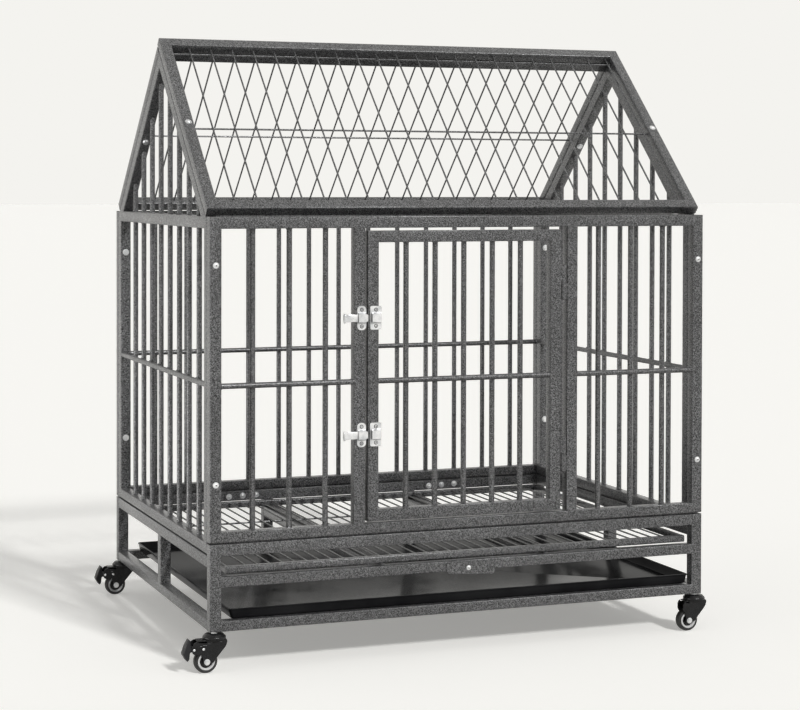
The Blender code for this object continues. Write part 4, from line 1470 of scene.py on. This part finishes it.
@dataclass
class CornerBolts:
    """The domed bolts that hold the wall panels together at the corners, and their nuts."""

    shop: Workshop
    heights: tuple[float, float] = (0.849, 0.392)
    inset: float = 0.0125
    tube: float = 0.025
    lift: float = 0.0002
    bolt: Head = Head(0.0052, 0.0018, dome=0.0046)
    nut: Head = Head(0.0062, 0.0042, 6, 0.0044)
    # Size and place of the black hexagon of painted shade on each bolt's dome.
    socket_radius: float = 0.0017
    socket_depth: float = 0.0014
    socket_out: float = 0.0022

    def socket(self, head: Vector, outward: int) -> Mesh:
        """Return a black hexagon, just proud of a bolt's dome, that paints the shade inside its
        socket.

        Args:
            head: The bolt's place.
            outward: -1 towards the front, 1 towards the rear.

        Returns:
            The mesh.
        """
        end = outward * self.socket_depth
        profile = [(0, 0.0), (self.socket_radius, 0.0), (self.socket_radius, end), (0, end)]
        return turned(profile, 6, "Y", head + Vector((0, outward * self.socket_out, 0)))

    def build(self) -> None:
        """Build the bolts on the front and rear wall, and the nuts on the side walls' stiles."""
        side_low, side_high = span("left_side_panel")
        for name, outward in (("front", -1), ("rear", 1)):
            low, high = span(name + "_panel")
            front = outward < 0
            face = low.y if front else high.y
            back = side_low.y + self.tube if front else side_high.y - self.tube
            out, inward = (Facing.FRONT, Facing.REAR) if front else (Facing.REAR, Facing.FRONT)
            places = [(x, z) for x in (low.x + self.inset, high.x - self.inset)
                      for z in self.heights]
            heads = [Vector((x, face + outward * self.lift, z)) for x, z in places]
            nuts = [Vector((x, back - outward * self.lift, z)) for x, z in places]
            piece = Piece(name + "_corner_bolts", ZINC)
            piece.add(self.shop.heads(heads, self.bolt, out),
                      self.shop.heads(nuts, self.nut, inward))
            # Painted shade: a black hexagon on each dome stands for the shade inside the bolt's
            # socket.
            piece.add(*[self.socket(head, outward) for head in heads], finish=STEEL)
            piece.close("cage")


@dataclass
class Hinges:
    """The door's two pin hinges, each of two welded knuckles."""

    shop: Workshop
    axis: Point = (0.23145, -0.432)
    radius: float = 0.0060
    bore: float = 0.0034
    pin_radius: float = 0.003
    foot_height: float = 0.0385
    edge: float = 0.0008
    weld: Weld = Weld(0.0028, (1.0, 1.2, 1.0))
    weld_inset: float = 0.0015
    weld_foot: float = 0.005
    weld_pitch: float = 0.0036
    weld_count: int = 9
    seed: int = 71

    def barrel(self, place: Vector, low: float, high: float) -> Mesh:
        """Return a knuckle's barrel, with the pin's bore through it.

        Args:
            place: A point on the pin's axis, at height 0.
            low: Height of its lower end.
            high: Height of its upper end.

        Returns:
            The mesh.
        """
        edge, radius = self.edge, self.radius
        profile = [(self.bore, low), (radius - edge, low), (radius, low + edge),
                   (radius, high - edge), (radius - edge, high), (self.bore, high)]
        return turned(profile, 28, "Z", place)

    def pin(self, place: Vector, low: float, high: float) -> Mesh:
        """Return the pin, from just over the lower end of its knuckle.

        Args:
            place: A point on the pin's axis, at height 0.
            low: Height of the knuckle's lower end.
            high: Height of the pin's upper end.

        Returns:
            The mesh.
        """
        foot, radius = low + 0.001, self.pin_radius
        profile = [(0, foot), (radius, foot), (radius, high - 0.0006), (0.0024, high), (0, high)]
        return turned(profile, 20, "Z", place)

    def knuckle(self, node: str, to_door: bool) -> list[Mesh]:
        """Return the meshes of a knuckle: its barrel, its weld and its pin.

        Args:
            node: The node that it stands for.
            to_door: True where it is welded to the door, and has no pin.

        Returns:
            The meshes.
        """
        low, high = span(node)
        panel_low, panel_high = span("front_panel")
        place = Vector((self.axis[0] + (panel_low.x + panel_high.x) / 2, self.axis[1], 0))
        top = high.z if to_door else low.z + self.foot_height
        weld_x = low.x + self.weld_inset if to_door else high.x - self.weld_inset
        spots = [Vector((weld_x, place.y, low.z + self.weld_foot + self.weld_pitch * step))
                 for step in range(self.weld_count)]
        meshes = [self.barrel(place, low.z, top), self.shop.beads(spots, self.weld, self.seed)]
        return meshes if to_door else [*meshes, self.pin(place, low.z, high.z)]

    def build(self) -> None:
        """Build both hinges."""
        for level in Level:
            door_node = "hinge_" + level.value + "_door_knuckle"
            frame_node = "hinge_" + level.value + "_frame_knuckle"
            top = Piece(level.value + "_hinge_top", PAINT).add(*self.knuckle(door_node, True))
            top.close("door_leaf", door_node)
            foot = Piece(level.value + "_hinge_foot", PAINT).add(*self.knuckle(frame_node, False))
            foot.close("cage", frame_node)


@dataclass
class SlideBolts:
    """The two slide bolts: frame plate, keeper and sliding tongue, all zinc-plated sheet."""

    shop: Workshop
    sheet: float = 0.0015
    sheet_edge: float = 0.0004
    bridge_half: float = 0.0100
    plate_reach: float = 0.345
    keeper_reach: float = 0.34
    # Radius of the thin black disc of painted shade round each screw head.
    shade_disc_radius: float = 0.0042
    screw: Head = Head(0.00272, 0.0010, dome=0.0026)
    # Place and reach of the black strokes that paint the shade of each screw's cross recess.
    cross_out: float = 0.0019
    cross_reach: float = 0.0017
    tongue_half: float = 0.008
    tongue_thick: float = 0.003
    eye_half: float = 0.0046
    eye_rim: float = 0.0028
    thumb_half: float = 0.0104

    def bridge(self, sides: Point, z: float, face: float, depth: float) -> Mesh:
        """Return the raised bridge of a plate, open at both sides.

        Args:
            sides: Its left and right side.
            z: Height of its middle.
            face: Front face of the plate along Y.
            depth: How far it stands out, a positive number.

        Returns:
            The mesh.
        """
        half, shoulder, inset = self.bridge_half, 0.0012, self.sheet * 0.5
        root, waist, crown = face + 0.0004, face - depth * 0.5, face - depth
        under = crown + self.sheet
        loop = [(root, -half - 0.0022), (waist, -half - 0.0006), (crown, -half + shoulder),
                (crown, half - shoulder), (waist, half + 0.0006), (root, half + 0.0022),
                (root, half - 0.0002), (under, half - shoulder - inset),
                (under, -half + shoulder + inset), (root, -half + 0.0002)]
        loop = [(a, z + b) for a, b in loop]
        return loft([placed_outline(loop, side, Plane.SIDE) for side in sides])

    def screws(self, piece: Piece, x: float, z: float, reach: float, face: float) -> None:
        """Add the two screws of a plate, each on a thin black disc that paints the shade round its
        head.

        Args:
            piece: The piece that takes them.
            x: Their place across.
            z: Height of the plate's middle.
            reach: From the middle to a screw.
            face: Front face of the plate along Y.
        """
        shade_radius = self.shade_disc_radius
        for side in LEFT_AND_RIGHT:
            place = Vector((x, face, z + side * reach))
            # Painted shade: a thin black disc just proud of the plate, wider than the screw's washer,
            # draws a dark ring round the head.
            rim = [(0.0, 0.0004), (shade_radius, 0.0004), (shade_radius, -0.0002), (0.0, -0.0002)]
            piece.add(turned(rim, 24, "Y", place), finish=STEEL)
            piece.add(self.shop.heads([place], self.screw, Facing.FRONT))
            # Painted shade: black strokes just proud of the dome stand for the shade inside the cross
            # recess.
            cross = recess_shade_strokes(place - Vector((0, self.cross_out, 0)), self.cross_reach)
            piece.add(*cross, finish=STEEL)

    def mounted(self, name: str, node: str, outline: Sequence[Point], sides: Point,
                reach: float) -> Piece:
        """Start a piece with a screwed-on plate and its bridge.

        Args:
            name: The piece's name.
            node: The node that it stands for.
            outline: Outline of the plate.
            sides: Left and right side of the bridge.
            reach: From the plate's middle to a screw, as a share of its height.

        Returns:
            The piece.
        """
        low, high = span(node)
        x, z = (low.x + high.x) / 2, (low.z + high.z) / 2
        face = high.y - self.sheet
        piece = Piece(name, ZINC)
        piece.add(plate(outline, high.y, face, Plane.FRONT, self.sheet_edge))
        piece.add(self.bridge(sides, z, face, face - low.y))
        self.screws(piece, x, z, (high.z - low.z) * reach, face)
        return piece

    def frame_plate(self, level: Level) -> None:
        """Build a plate on the frame."""
        node = "latch_" + level.value + "_plate"
        low, high = span(node)
        outline = rounded_rectangle((low.x, low.z), (high.x, high.z), (high.x - low.x) * 0.42)
        sides = (low.x + 0.0015, high.x - 0.0015)
        piece = self.mounted(level.value + "_bolt_plate", node, outline, sides, self.plate_reach)
        piece.close("cage", node)

    def keeper(self, level: Level) -> None:
        """Build a keeper on the door."""
        node = "latch_" + level.value + "_keeper"
        low, high = span(node)
        z, left, right = (low.z + high.z) / 2, low.x, high.x
        waist = right - 0.0022
        outline = eased([(left, low.z), (right, low.z), (right, z - 0.0130), (waist, z - 0.0105),
                         (waist, z + 0.0105), (right, z + 0.0130), (right, high.z),
                         (left, high.z)], 0.0045, 4)
        sides = (left + 0.0030, waist - 0.0004)
        name = level.value + "_keeper_plate"
        self.mounted(name, node, outline, sides, self.keeper_reach).close("door_leaf", node)

    def tongue(self, level: Level) -> None:
        """Build a sliding tongue with its padlock eye and thumb handle."""
        node = "latch_" + level.value + "_bolt"
        low, high = span(node)
        z, half = (low.z + high.z) / 2, self.tongue_half
        near, far = high.y, high.y - self.tongue_thick
        eye, left = high.x - 0.014, low.x + 0.0012
        piece = Piece(level.value + "_bolt_tongue", ZINC)
        for low_z, high_z in ((z - half, z - self.eye_rim), (z + self.eye_rim, z + half)):
            piece.add(cuboid((eye - self.eye_half, far, low_z), (eye + self.eye_half, near, high_z),
                             0.0004))
        piece.add(cuboid((left + 0.002, far, z - half), (eye - 0.0040, near, z + half), 0.0006))
        tip = rounded_rectangle((eye + 0.0040, z - half), (high.x, z + half), 0.0026)
        piece.add(plate(tip, far, near, Plane.FRONT, 0.0005))
        end = rounded_rectangle((left - 0.0010, z - half), (left + 0.0125, z + half), 0.0045)
        piece.add(plate(end, far - 0.0006, near, Plane.FRONT, 0.0008))
        thumb = rounded_rectangle((low.y + 0.0001, z - self.thumb_half),
                                  (near - 0.0002, z + self.thumb_half), 0.0040)
        piece.add(plate(thumb, left - 0.0010, left + 0.0026, Plane.SIDE, 0.0009))
        piece.close(level.value + "_bolt", node)

    def build(self) -> None:
        """Build both slide bolts."""
        for level in Level:
            self.frame_plate(level)
            self.keeper(level)
            self.tongue(level)


@dataclass
class PullOutFloor:
    """The floor grid, the tray and the turn button that keeps them in."""

    shop: Workshop
    bar: float = 0.015
    side_bar: float = 0.008
    runner_x: float = 0.1933
    runner_half: float = 0.004
    runner_inset: float = 0.003
    wire_radius: float = 0.0020
    wire_pitch: float = 0.0275
    wire_inset: float = 0.010
    wire_drop: float = 0.003
    cross_drop: float = 0.0068
    cross_count: int = 2
    tray_sheet: float = 0.0016
    tray_corner: float = 0.007
    button_lean: float = math.radians(3.5)
    button_gap: float = 0.0012
    button_inset: float = 0.006
    button_bolt: Head = Head(0.0042, 0.0014, dome=0.0040)

    def grid(self) -> None:
        """Build the floor grid: a bar frame, two runners and its wires."""
        low, high = span("floor_grid")
        centre, width = (low.x + high.x) / 2, high.x - low.x
        piece = Piece("wire_floor", PAINT)
        half, side_half = self.bar / 2, self.side_bar / 2
        z = high.z - half
        ends = [(Vector((low.x, y, z)), Vector((high.x, y, z)))
                for y in (low.y + half, high.y - half)]
        sides = [(Vector((x, low.y + self.bar, z)), Vector((x, high.y - self.bar, z)))
                 for x in (low.x + side_half, high.x - side_half)]
        piece.add(self.shop.tubes(ends, self.bar, self.bar),
                  self.shop.tubes(sides, self.side_bar, self.bar))
        for side in LEFT_AND_RIGHT:
            x, inset = centre + side * self.runner_x, self.runner_inset
            piece.add(cuboid((x - self.runner_half, low.y + inset, low.z),
                             (x + self.runner_half, high.y - inset, high.z - self.bar + 0.008)))
        count = 2 * (int(width / 2 / self.wire_pitch) - 1) + 1
        start = Vector((centre - (count - 1) / 2 * self.wire_pitch, low.y + self.wire_inset,
                        high.z - self.wire_drop))
        run = (0, high.y - low.y - 2 * self.wire_inset, 0)
        piece.add(self.shop.rods(start, count, (self.wire_pitch, 0, 0), run, self.wire_radius))
        spacing = (high.y - low.y - 2 * self.bar) / (self.cross_count + 1)
        start = Vector((low.x + side_half, low.y + self.bar + spacing, high.z - self.cross_drop))
        run = (width - self.side_bar, 0, 0)
        piece.add(self.shop.rods(start, self.cross_count, (0, spacing, 0), run, self.wire_radius))
        piece.close("grid", "floor_grid")

    def tray(self) -> None:
        """Build the tray as one lofted pan with a rolled rim."""
        low, high = span("tray")
        sheet, corner, rim = self.tray_sheet, self.tray_corner, high.z

        def ring(side_in: float, end_in: float, z: float, radius: float) -> list[Vector]:
            """Return a rounded rectangle of the pan, drawn in from its box.

            Args:
                side_in: How far it is drawn in at the sides.
                end_in: How far it is drawn in at the front and the back.
                z: Its height.
                radius: Radius of its corners.

            Returns:
                The points.
            """
            loop = rounded_rectangle((low.x + side_in, low.y + end_in),
                                     (high.x - side_in, high.y - end_in), radius)
            return placed_outline(loop, z, Plane.FLOOR)

        outside = [(0.0090, 0.0070, low.z), (0.0062, 0.0042, low.z + 0.0009),
                   (0.0047, 0.0027, low.z + 0.0032), (0.0014, 0.0012, rim - 0.0036),
                   (0.0, 0.0, rim - 0.0028), (0.0, 0.0, rim - 0.0010), (0.0008, 0.0008, rim),
                   (0.0024, 0.0024, rim)]
        inside = [(0.0032, 0.0030, rim - 0.0010),
                  (0.0047 + sheet, 0.0027 + sheet, low.z + 0.0048),
                  (0.0068 + sheet, 0.0048 + sheet, low.z + 0.0026),
                  (0.0108 + sheet, 0.0088 + sheet, low.z + sheet)]
        rings = [ring(*sizes, corner) for sizes in outside]
        rings += [ring(*sizes, corner - 0.001) for sizes in inside]
        Piece("litter_tray", ENAMEL).add(loft(rings)).close("waste_tray", "tray")

    def button(self) -> None:
        """Build the turn button, which leans a little and stands off the rail, and its bolt."""
        low, high = span("tray_turn_button")
        pin_low, pin_high = span("turn_button_bolt")
        back, inset = high.y - self.button_gap, self.button_inset
        front_plate = rounded_rectangle((low.x, low.z), (high.x, high.z), 0.008)
        spacer = rounded_rectangle((low.x + inset, low.z + inset),
                                   (high.x - inset, high.z - inset), 0.004)
        meshes = [plate(front_plate, back, low.y, Plane.FRONT, 0.0006),
                  plate(spacer, back - 0.0002, high.y, Plane.FRONT, 0.0002)]
        centre = (pin_low + pin_high) / 2
        pivot = Matrix.Translation(centre)
        lean = Matrix.Rotation(self.button_lean, 4, "Y")
        for mesh in meshes:
            mesh.transform(pivot @ lean @ pivot.inverted())
        Piece("turn_plate", PAINT).add(*meshes).close("turn_button", "tray_turn_button")
        face = low.y - 0.0002
        place = Vector((centre.x, face, centre.z))
        bolt = Piece("turn_plate_bolt", ZINC)
        bolt.add(self.shop.heads([place], self.button_bolt, Facing.FRONT))
        # Painted shade: black strokes just proud of the dome stand for the shade inside the bolt's
        # cross recess.
        bolt.add(*recess_shade_strokes(Vector((centre.x, face - 0.0029, centre.z)), 0.0022), finish=STEEL)
        bolt.add(turned([(0, 0.016), (0.003, 0.016), (0.003, 0.0), (0, 0.0)], 16, "Y", place))
        bolt.close("cage", "turn_button_bolt")

    def build(self) -> None:
        """Build the floor's pieces."""
        self.grid()
        self.tray()
        self.button()


@dataclass
class Casters:
    """The four swivel casters, with outlines as distances from the stem's axis and heights."""

    shop: Workshop
    trail: float = 0.019
    radius: float = 0.025
    half_wheel: float = 0.010
    half_fork: float = 0.0145
    sheet: float = 0.0025
    fork_top: float = 0.0702
    lift: float = 0.0002
    raceway: tuple[Point, ...] = (
        (0, 0.0705), (0.0236, 0.0705), (0.0247, 0.0713), (0.0250, 0.0730), (0.0247, 0.0752),
        (0.0236, 0.0768), (0.0222, 0.0772), (0.0216, 0.0780), (0.0205, 0.0800), (0.0180, 0.0813),
        (0.0120, 0.0820), (0, 0.0820))
    stem: tuple[Point, ...] = ((0, 0.083), (0.0048, 0.083), (0.0048, 0.110), (0, 0.110))
    stem_nut: Head = Head(0.0066, 0.0026, 6)
    stem_nut_height: float = 0.0816
    boss_radius: float = 0.0085
    crease: tuple[Point, ...] = ((-0.0340, 0.0585), (-0.0200, 0.0605), (-0.0100, 0.0650),
                                 (0.0120, 0.0660))
    crease_radius: float = 0.0008
    rivets: tuple[Point, ...] = ((-0.0465, 0.0520), (-0.0265, 0.0525))
    rivet: Head = Head(0.0027, 0.0010, dome=0.0026)
    pin_radius: float = 0.002
    axle_radius: float = 0.003
    axle_head: Head = Head(0.0052, 0.0034, 6, 0.0026)
    axle_nut: Head = Head(0.0052, 0.0040, 6, 0.0026)
    pedal_outline: tuple[Point, ...] = (
        (-0.0553, 0.0728), (-0.0532, 0.0712), (-0.0538, 0.0562), (-0.0440, 0.0562),
        (-0.0424, 0.0520), (-0.0440, 0.0480), (-0.0545, 0.0470), (-0.0562, 0.0316),
        (-0.0602, 0.0274), (-0.0690, 0.0420), (-0.0628, 0.0600))
    first_rib: Point = (-0.0672, 0.0448)
    rib_step: Point = (0.0013, 0.0037)
    rib_count: int = 5
    rib_radius: float = 0.0010

    def mount(self, corner: Corner, place: Vector) -> None:
        """Build the stem, its nut and the raceway head."""
        piece = Piece(corner.value + "_caster_head", STEEL)
        piece.add(turned(self.raceway, 40, "Z", place), turned(self.stem, 16, "Z", place))
        nut = [place + Vector((0, 0, self.stem_nut_height))]
        piece.add(self.shop.heads(nut, self.stem_nut, Facing.UP), finish=ZINC)
        piece.close("cage", corner.node("mount"))

    def cheek(self, braked: bool) -> list[Point]:
        """Return the side outline of a fork's cheek, from the stem's axis."""
        top = self.fork_top
        boss = arc((-self.trail, self.radius), self.boss_radius, -50, -200, 12)
        front = eased([(-0.0200, top), (0.0240, top), (0.0250, top - 0.005), (0.0222, 0.0560),
                       (-0.0005, 0.0295), (-0.0075, 0.0195)], 0.006, 4)
        if braked:
            rear = eased([(-0.0290, 0.0400), (-0.0500, 0.0425), (-0.0512, 0.0560),
                          (-0.0470, 0.0655), (-0.0380, top)], 0.006, 4)
        else:
            rear = eased([(-0.0290, 0.0400), (-0.0345, 0.0490), (-0.0345, top - 0.007),
                          (-0.0285, top)], 0.004, 4)
        return front + boss + rear

    def brake_fittings(self, piece: Piece, place: Vector, inner: float) -> None:
        """Add the rivets on a braked fork's cheeks, and the pin on which its pedal rocks.

        Args:
            piece: The piece that takes them.
            place: The stem's axis on the floor.
            inner: From the fork's middle to the inside of a cheek.
        """
        for side, facing in zip(LEFT_AND_RIGHT, (Facing.FRONT, Facing.REAR)):
            out = place.y + side * (self.half_fork - self.lift)
            points = [Vector((place.x + x, out, z)) for x, z in self.rivets]
            piece.add(self.shop.heads(points, self.rivet, facing), finish=ZINC)
        x, z = self.rivets[0]
        profile = [(0, -inner), (self.pin_radius, -inner), (self.pin_radius, inner), (0, inner)]
        pin = turned(profile, 14, "Y", Vector((place.x + x, place.y, z)))
        piece.add(pin, finish=ZINC)

    def fork(self, corner: Corner, place: Vector) -> None:
        """Build the bent sheet fork with its rivets."""
        piece = Piece(corner.value + "_caster_fork", STEEL)
        loop = [(place.x + x, z) for x, z in self.cheek(corner.braked)]
        for side in LEFT_AND_RIGHT:
            outer = place.y + side * self.half_fork
            piece.add(plate(loop, outer, outer - side * self.sheet, Plane.FRONT, 0.0005))
            if corner.braked:
                crease = [Vector((place.x + x, outer - side * self.lift, z))
                          for x, z in self.crease]
                lines = list(zip(crease, crease[1:]))
                piece.add(self.shop.bars(lines, self.crease_radius, 8, STEEL))
        left = -0.0385 if corner.braked else -0.0280
        inner = self.half_fork - self.sheet + 0.0004
        piece.add(cuboid((place.x + left, place.y - inner, self.fork_top - self.sheet),
                         (place.x + 0.0236, place.y + inner, self.fork_top), 0.0005))
        if corner.braked:
            self.brake_fittings(piece, place, inner)
        piece.close(corner.value + "_swivel_fork", corner.node("fork"))

    def axle(self, corner: Corner, centre: Vector) -> None:
        """Build the axle bolt with its hexagon head and nut."""
        out, radius = self.half_fork + 0.0003, self.axle_radius
        piece = Piece(corner.value + "_caster_axle", ZINC)
        reach = Vector((0, out, 0))
        piece.add(self.shop.heads([centre - reach], self.axle_head, Facing.FRONT),
                  self.shop.heads([centre + reach], self.axle_nut, Facing.REAR),
                  turned([(0, -out), (radius, -out), (radius, out), (0, out)], 20, "Y", centre))
        piece.close(corner.value + "_swivel_fork", corner.node("axle_bolt"))

    def wheel(self, corner: Corner, centre: Vector) -> None:
        """Build the tyre and the hub with its white ring."""
        half, rim = self.half_wheel, 0.0185
        tyre = [(rim, half - 0.0006), (0.0205, half - 0.0001), (0.0228, half - 0.0012),
                (0.0243, half - 0.0034), (0.0250, half - 0.0062), (0.0250, 0.0062 - half),
                (0.0243, 0.0034 - half), (0.0228, 0.0012 - half), (0.0205, 0.0001 - half),
                (rim, 0.0006 - half)]
        body = corner.value + "_wheel"
        piece = Piece(corner.value + "_tyre_ring", RUBBER).add(turned(tyre, 56, "Y", centre))
        piece.close(body, corner.node("tyre"))
        piece = Piece(corner.value + "_wheel_hub", WHITE_HUB)
        for side in LEFT_AND_RIGHT:
            ring = [(0.0138, side * (half - 0.0026)), (0.0146, side * (half - 0.0006)),
                    (0.0176, side * (half - 0.0004)), (0.0184, side * (half - 0.0012)),
                    (0.0184, 0.0), (0.0138, 0.0)]
            piece.add(turned(ring, 48, "Y", centre))
        web = [(0.0034, half - 0.0034), (0.0060, half - 0.0020), (0.0068, half - 0.0042),
               (0.0142, half - 0.0048), (0.0142, 0.0048 - half), (0.0068, 0.0042 - half),
               (0.0060, 0.0020 - half), (0.0034, 0.0034 - half)]
        piece.add(turned(web, 40, "Y", centre), finish=STEEL)
        piece.close(body, corner.node("hub"))

    def pedal(self, corner: Corner, place: Vector) -> None:
        """Build the ribbed brake pedal."""
        inner = self.half_fork - self.sheet - 0.0004
        loop = [(place.x + x, z) for x, z in eased(self.pedal_outline, 0.0030, 3)]
        piece = Piece(corner.value + "_foot_pedal", GREY_PEDAL)
        piece.add(plate(loop, place.y - inner, place.y + inner, Plane.FRONT, 0.0010))
        (x, z), (across, along) = self.first_rib, self.rib_step
        start = Vector((place.x + x, place.y - inner + 0.001, z))
        piece.add(self.shop.rods(start, self.rib_count, (across, 0, along),
                                 (0, 2 * inner - 0.002, 0), self.rib_radius, 6, GREY_PEDAL))
        piece.close(corner.value + "_pedal", corner.node("brake_pedal"))

    def build(self) -> None:
        """Build the four casters."""
        for corner in Corner:
            low, high = span(corner.node("mount"))
            place = Vector(((low.x + high.x) / 2, (low.y + high.y) / 2, 0))
            centre = Vector((place.x - self.trail, place.y, self.radius))
            self.mount(corner, place)
            self.fork(corner, place)
            self.axle(corner, centre)
            self.wheel(corner, centre)
            if corner.braked:
                self.pedal(corner, place)


@dataclass
class Studio:
    """The pale floor, the lights and the camera of the photograph."""

    backdrop: Colour = (0.905, 0.896, 0.863)
    bounced: Colour = (0.12, 0.12, 0.12)
    floor_share: float = 0.90 / 0.905
    focal_pixels: float = 1995.0
    frame_width: float = 800.0
    frame_height: float = 710.0
    optical_axis_y: float = 215.5
    yaw: float = math.radians(20.878)
    tilt: float = math.radians(-0.983)
    roll: float = math.radians(0.129)
    place: tuple[float, float, float] = (-1.6627, -4.4352, 1.0248)
    floor_glow: float = 0.345
    fill: float = 0.10
    overhead: float = 0.30
    spot_width: float = math.radians(64)
    spot_blend: float = 0.35
    spot_size: float = 0.30
    floor_reach: float = 80.0

    def camera(self) -> None:
        """Set the camera that the photograph was solved for."""
        data = bpy.data.cameras.new("photo_camera")
        data.sensor_width = 36.0
        data.lens = self.focal_pixels * data.sensor_width / self.frame_width
        data.shift_y = (self.optical_axis_y - self.frame_height / 2) / self.frame_width
        data.clip_end = 200.0
        right = Vector((math.cos(self.yaw), -math.sin(self.yaw), 0))
        ahead = Vector((math.sin(self.yaw) * math.cos(self.tilt),
                        math.cos(self.yaw) * math.cos(self.tilt), math.sin(self.tilt)))
        up = right.cross(ahead)
        across = right * math.cos(self.roll) + up * math.sin(self.roll)
        upward = up * math.cos(self.roll) - right * math.sin(self.roll)
        item = bpy.data.objects.new("photo_camera", data)
        turn = Matrix((across, upward, -ahead)).transposed().to_4x4()
        item.matrix_world = Matrix.Translation(self.place) @ turn
        bpy.context.scene.collection.objects.link(item)
        bpy.context.scene.camera = item

    def floor(self) -> None:
        """Lay the pale floor, which the lamps light evenly up to the horizon."""
        mesh = bpy.data.meshes.new("studio_floor")
        out = self.floor_reach
        corners = [(-out, -out, 0), (out, -out, 0), (out, out, 0), (-out, out, 0)]
        mesh.from_pydata(corners, [], [(0, 1, 2, 3)])
        item = bpy.data.objects.new("studio_floor", mesh)
        bpy.context.scene.collection.objects.link(item)
        material = bpy.data.materials.new("studio_floor")
        material.use_nodes = True
        tree = material.node_tree
        tree.nodes.clear()
        path = tree.nodes.new("ShaderNodeLightPath")
        paper = tree.nodes.new("ShaderNodeBsdfDiffuse")
        glow = tree.nodes.new("ShaderNodeEmission")
        both = tree.nodes.new("ShaderNodeAddShader")
        surface = tree.nodes.new("ShaderNodeOutputMaterial").inputs["Surface"]
        tone = mix_colours(tree, path.outputs["Is Diffuse Ray"],
                           [self.floor_share * value for value in self.backdrop], self.bounced)
        glow.inputs["Color"].default_value = (*self.backdrop, 1.0)
        seen = math_node(tree, "MAXIMUM", path.outputs["Is Camera Ray"],
                         path.outputs["Is Glossy Ray"])
        tree.links.new(tone, paper.inputs["Color"])
        tree.links.new(math_node(tree, "MULTIPLY", seen, self.floor_glow), glow.inputs["Strength"])
        tree.links.new(paper.outputs[0], both.inputs[0])
        tree.links.new(glow.outputs[0], both.inputs[1])
        tree.links.new(both.outputs[0], surface)
        mesh.materials.append(material)

    def world(self) -> None:
        """Set the pale surroundings, dimmer as a light than seen, and brightest overhead."""
        world = bpy.data.worlds.new("studio")
        world.use_nodes = True
        bpy.context.scene.world = world
        tree = world.node_tree
        tree.nodes.clear()
        path = tree.nodes.new("ShaderNodeLightPath")
        seen = tree.nodes.new("ShaderNodeBackground")
        light = tree.nodes.new("ShaderNodeBackground")
        mix = tree.nodes.new("ShaderNodeMixShader")
        out = tree.nodes.new("ShaderNodeOutputWorld")
        seen.inputs["Color"].default_value = (*self.backdrop, 1.0)
        light.inputs["Color"].default_value = (1.0, 1.0, 1.0, 1.0)
        ray = tree.nodes.new("ShaderNodeSeparateXYZ")
        tree.links.new(tree.nodes.new("ShaderNodeTexCoord").outputs["Generated"], ray.inputs[0])
        above = math_node(tree, "MULTIPLY", math_node(tree, "MAXIMUM", ray.outputs["Z"], 0.0),
                          self.overhead)
        tree.links.new(math_node(tree, "ADD", above, self.fill), light.inputs["Strength"])
        first = math_node(tree, "MAXIMUM", path.outputs["Is Camera Ray"],
                          path.outputs["Is Glossy Ray"])
        shown = math_node(tree, "MAXIMUM", first, path.outputs["Is Transmission Ray"])
        tree.links.new(shown, mix.inputs[0])
        tree.links.new(light.outputs[0], mix.inputs[1])
        tree.links.new(seen.outputs[0], mix.inputs[2])
        tree.links.new(mix.outputs[0], out.inputs["Surface"])

    def sun(self, name: str, toward: Sequence[float], strength: float, softness: float) -> None:
        """Add a far lamp.

        Args:
            name: The lamp's name.
            toward: The direction from the object to the lamp.
            strength: Light on a surface that faces it, where pi lights white paper fully.
            softness: The lamp's apparent width in degrees.
        """
        data = bpy.data.lights.new(name, "SUN")
        data.energy = strength
        data.angle = math.radians(softness)
        item = bpy.data.objects.new(name, data)
        item.rotation_euler = Vector(toward).to_track_quat("Z", "Y").to_euler()
        bpy.context.scene.collection.objects.link(item)

    def uplight(self, name: str, place: Sequence[float], target: Sequence[float],
                power: float) -> None:
        """Add a near lamp that stands low and lights a wall upward, clear of the floor.

        Args:
            name: The lamp's name.
            place: Where it stands.
            target: The point that it is turned to.
            power: Its power in watts.
        """
        data = bpy.data.lights.new(name, "SPOT")
        data.energy = power
        data.shadow_soft_size = self.spot_size
        data.spot_size = self.spot_width
        data.spot_blend = self.spot_blend
        item = bpy.data.objects.new(name, data)
        item.location = place
        item.rotation_euler = (Vector(place) - Vector(target)).to_track_quat("Z", "Y").to_euler()
        item.visible_camera = False
        bpy.context.scene.collection.objects.link(item)

    def build(self) -> None:
        """Set up the whole studio."""
        self.camera()
        self.floor()
        self.world()
        self.sun("key_front_right", toward=(0.258, -0.966, 0.72), strength=2.05, softness=7.0)
        self.sun("side_left", toward=(-1.0, -0.04, 0.05), strength=0.34, softness=25.0)
        self.uplight("near_left", place=(-2.30, -0.25, 0.22), target=(-0.56, -0.05, 0.90),
                     power=60.0)
        bpy.context.scene.view_settings.view_transform = "Standard"


def main() -> None:
    """Build the studio and every piece of the cage."""
    logging.basicConfig(level=logging.INFO, format="%(name)s %(message)s")
    Studio().build()
    shop = Workshop()
    FrontPlaneWall(shop).build()
    side_walls = SideWalls(shop)
    side_walls.build()
    Roof(shop, side_walls).build()
    BaseFrame(shop).build()
    CornerBolts(shop).build()
    Hinges(shop).build()
    SlideBolts(shop).build()
    PullOutFloor(shop).build()
    Casters(shop).build()


if __name__ == "__main__":
    main()
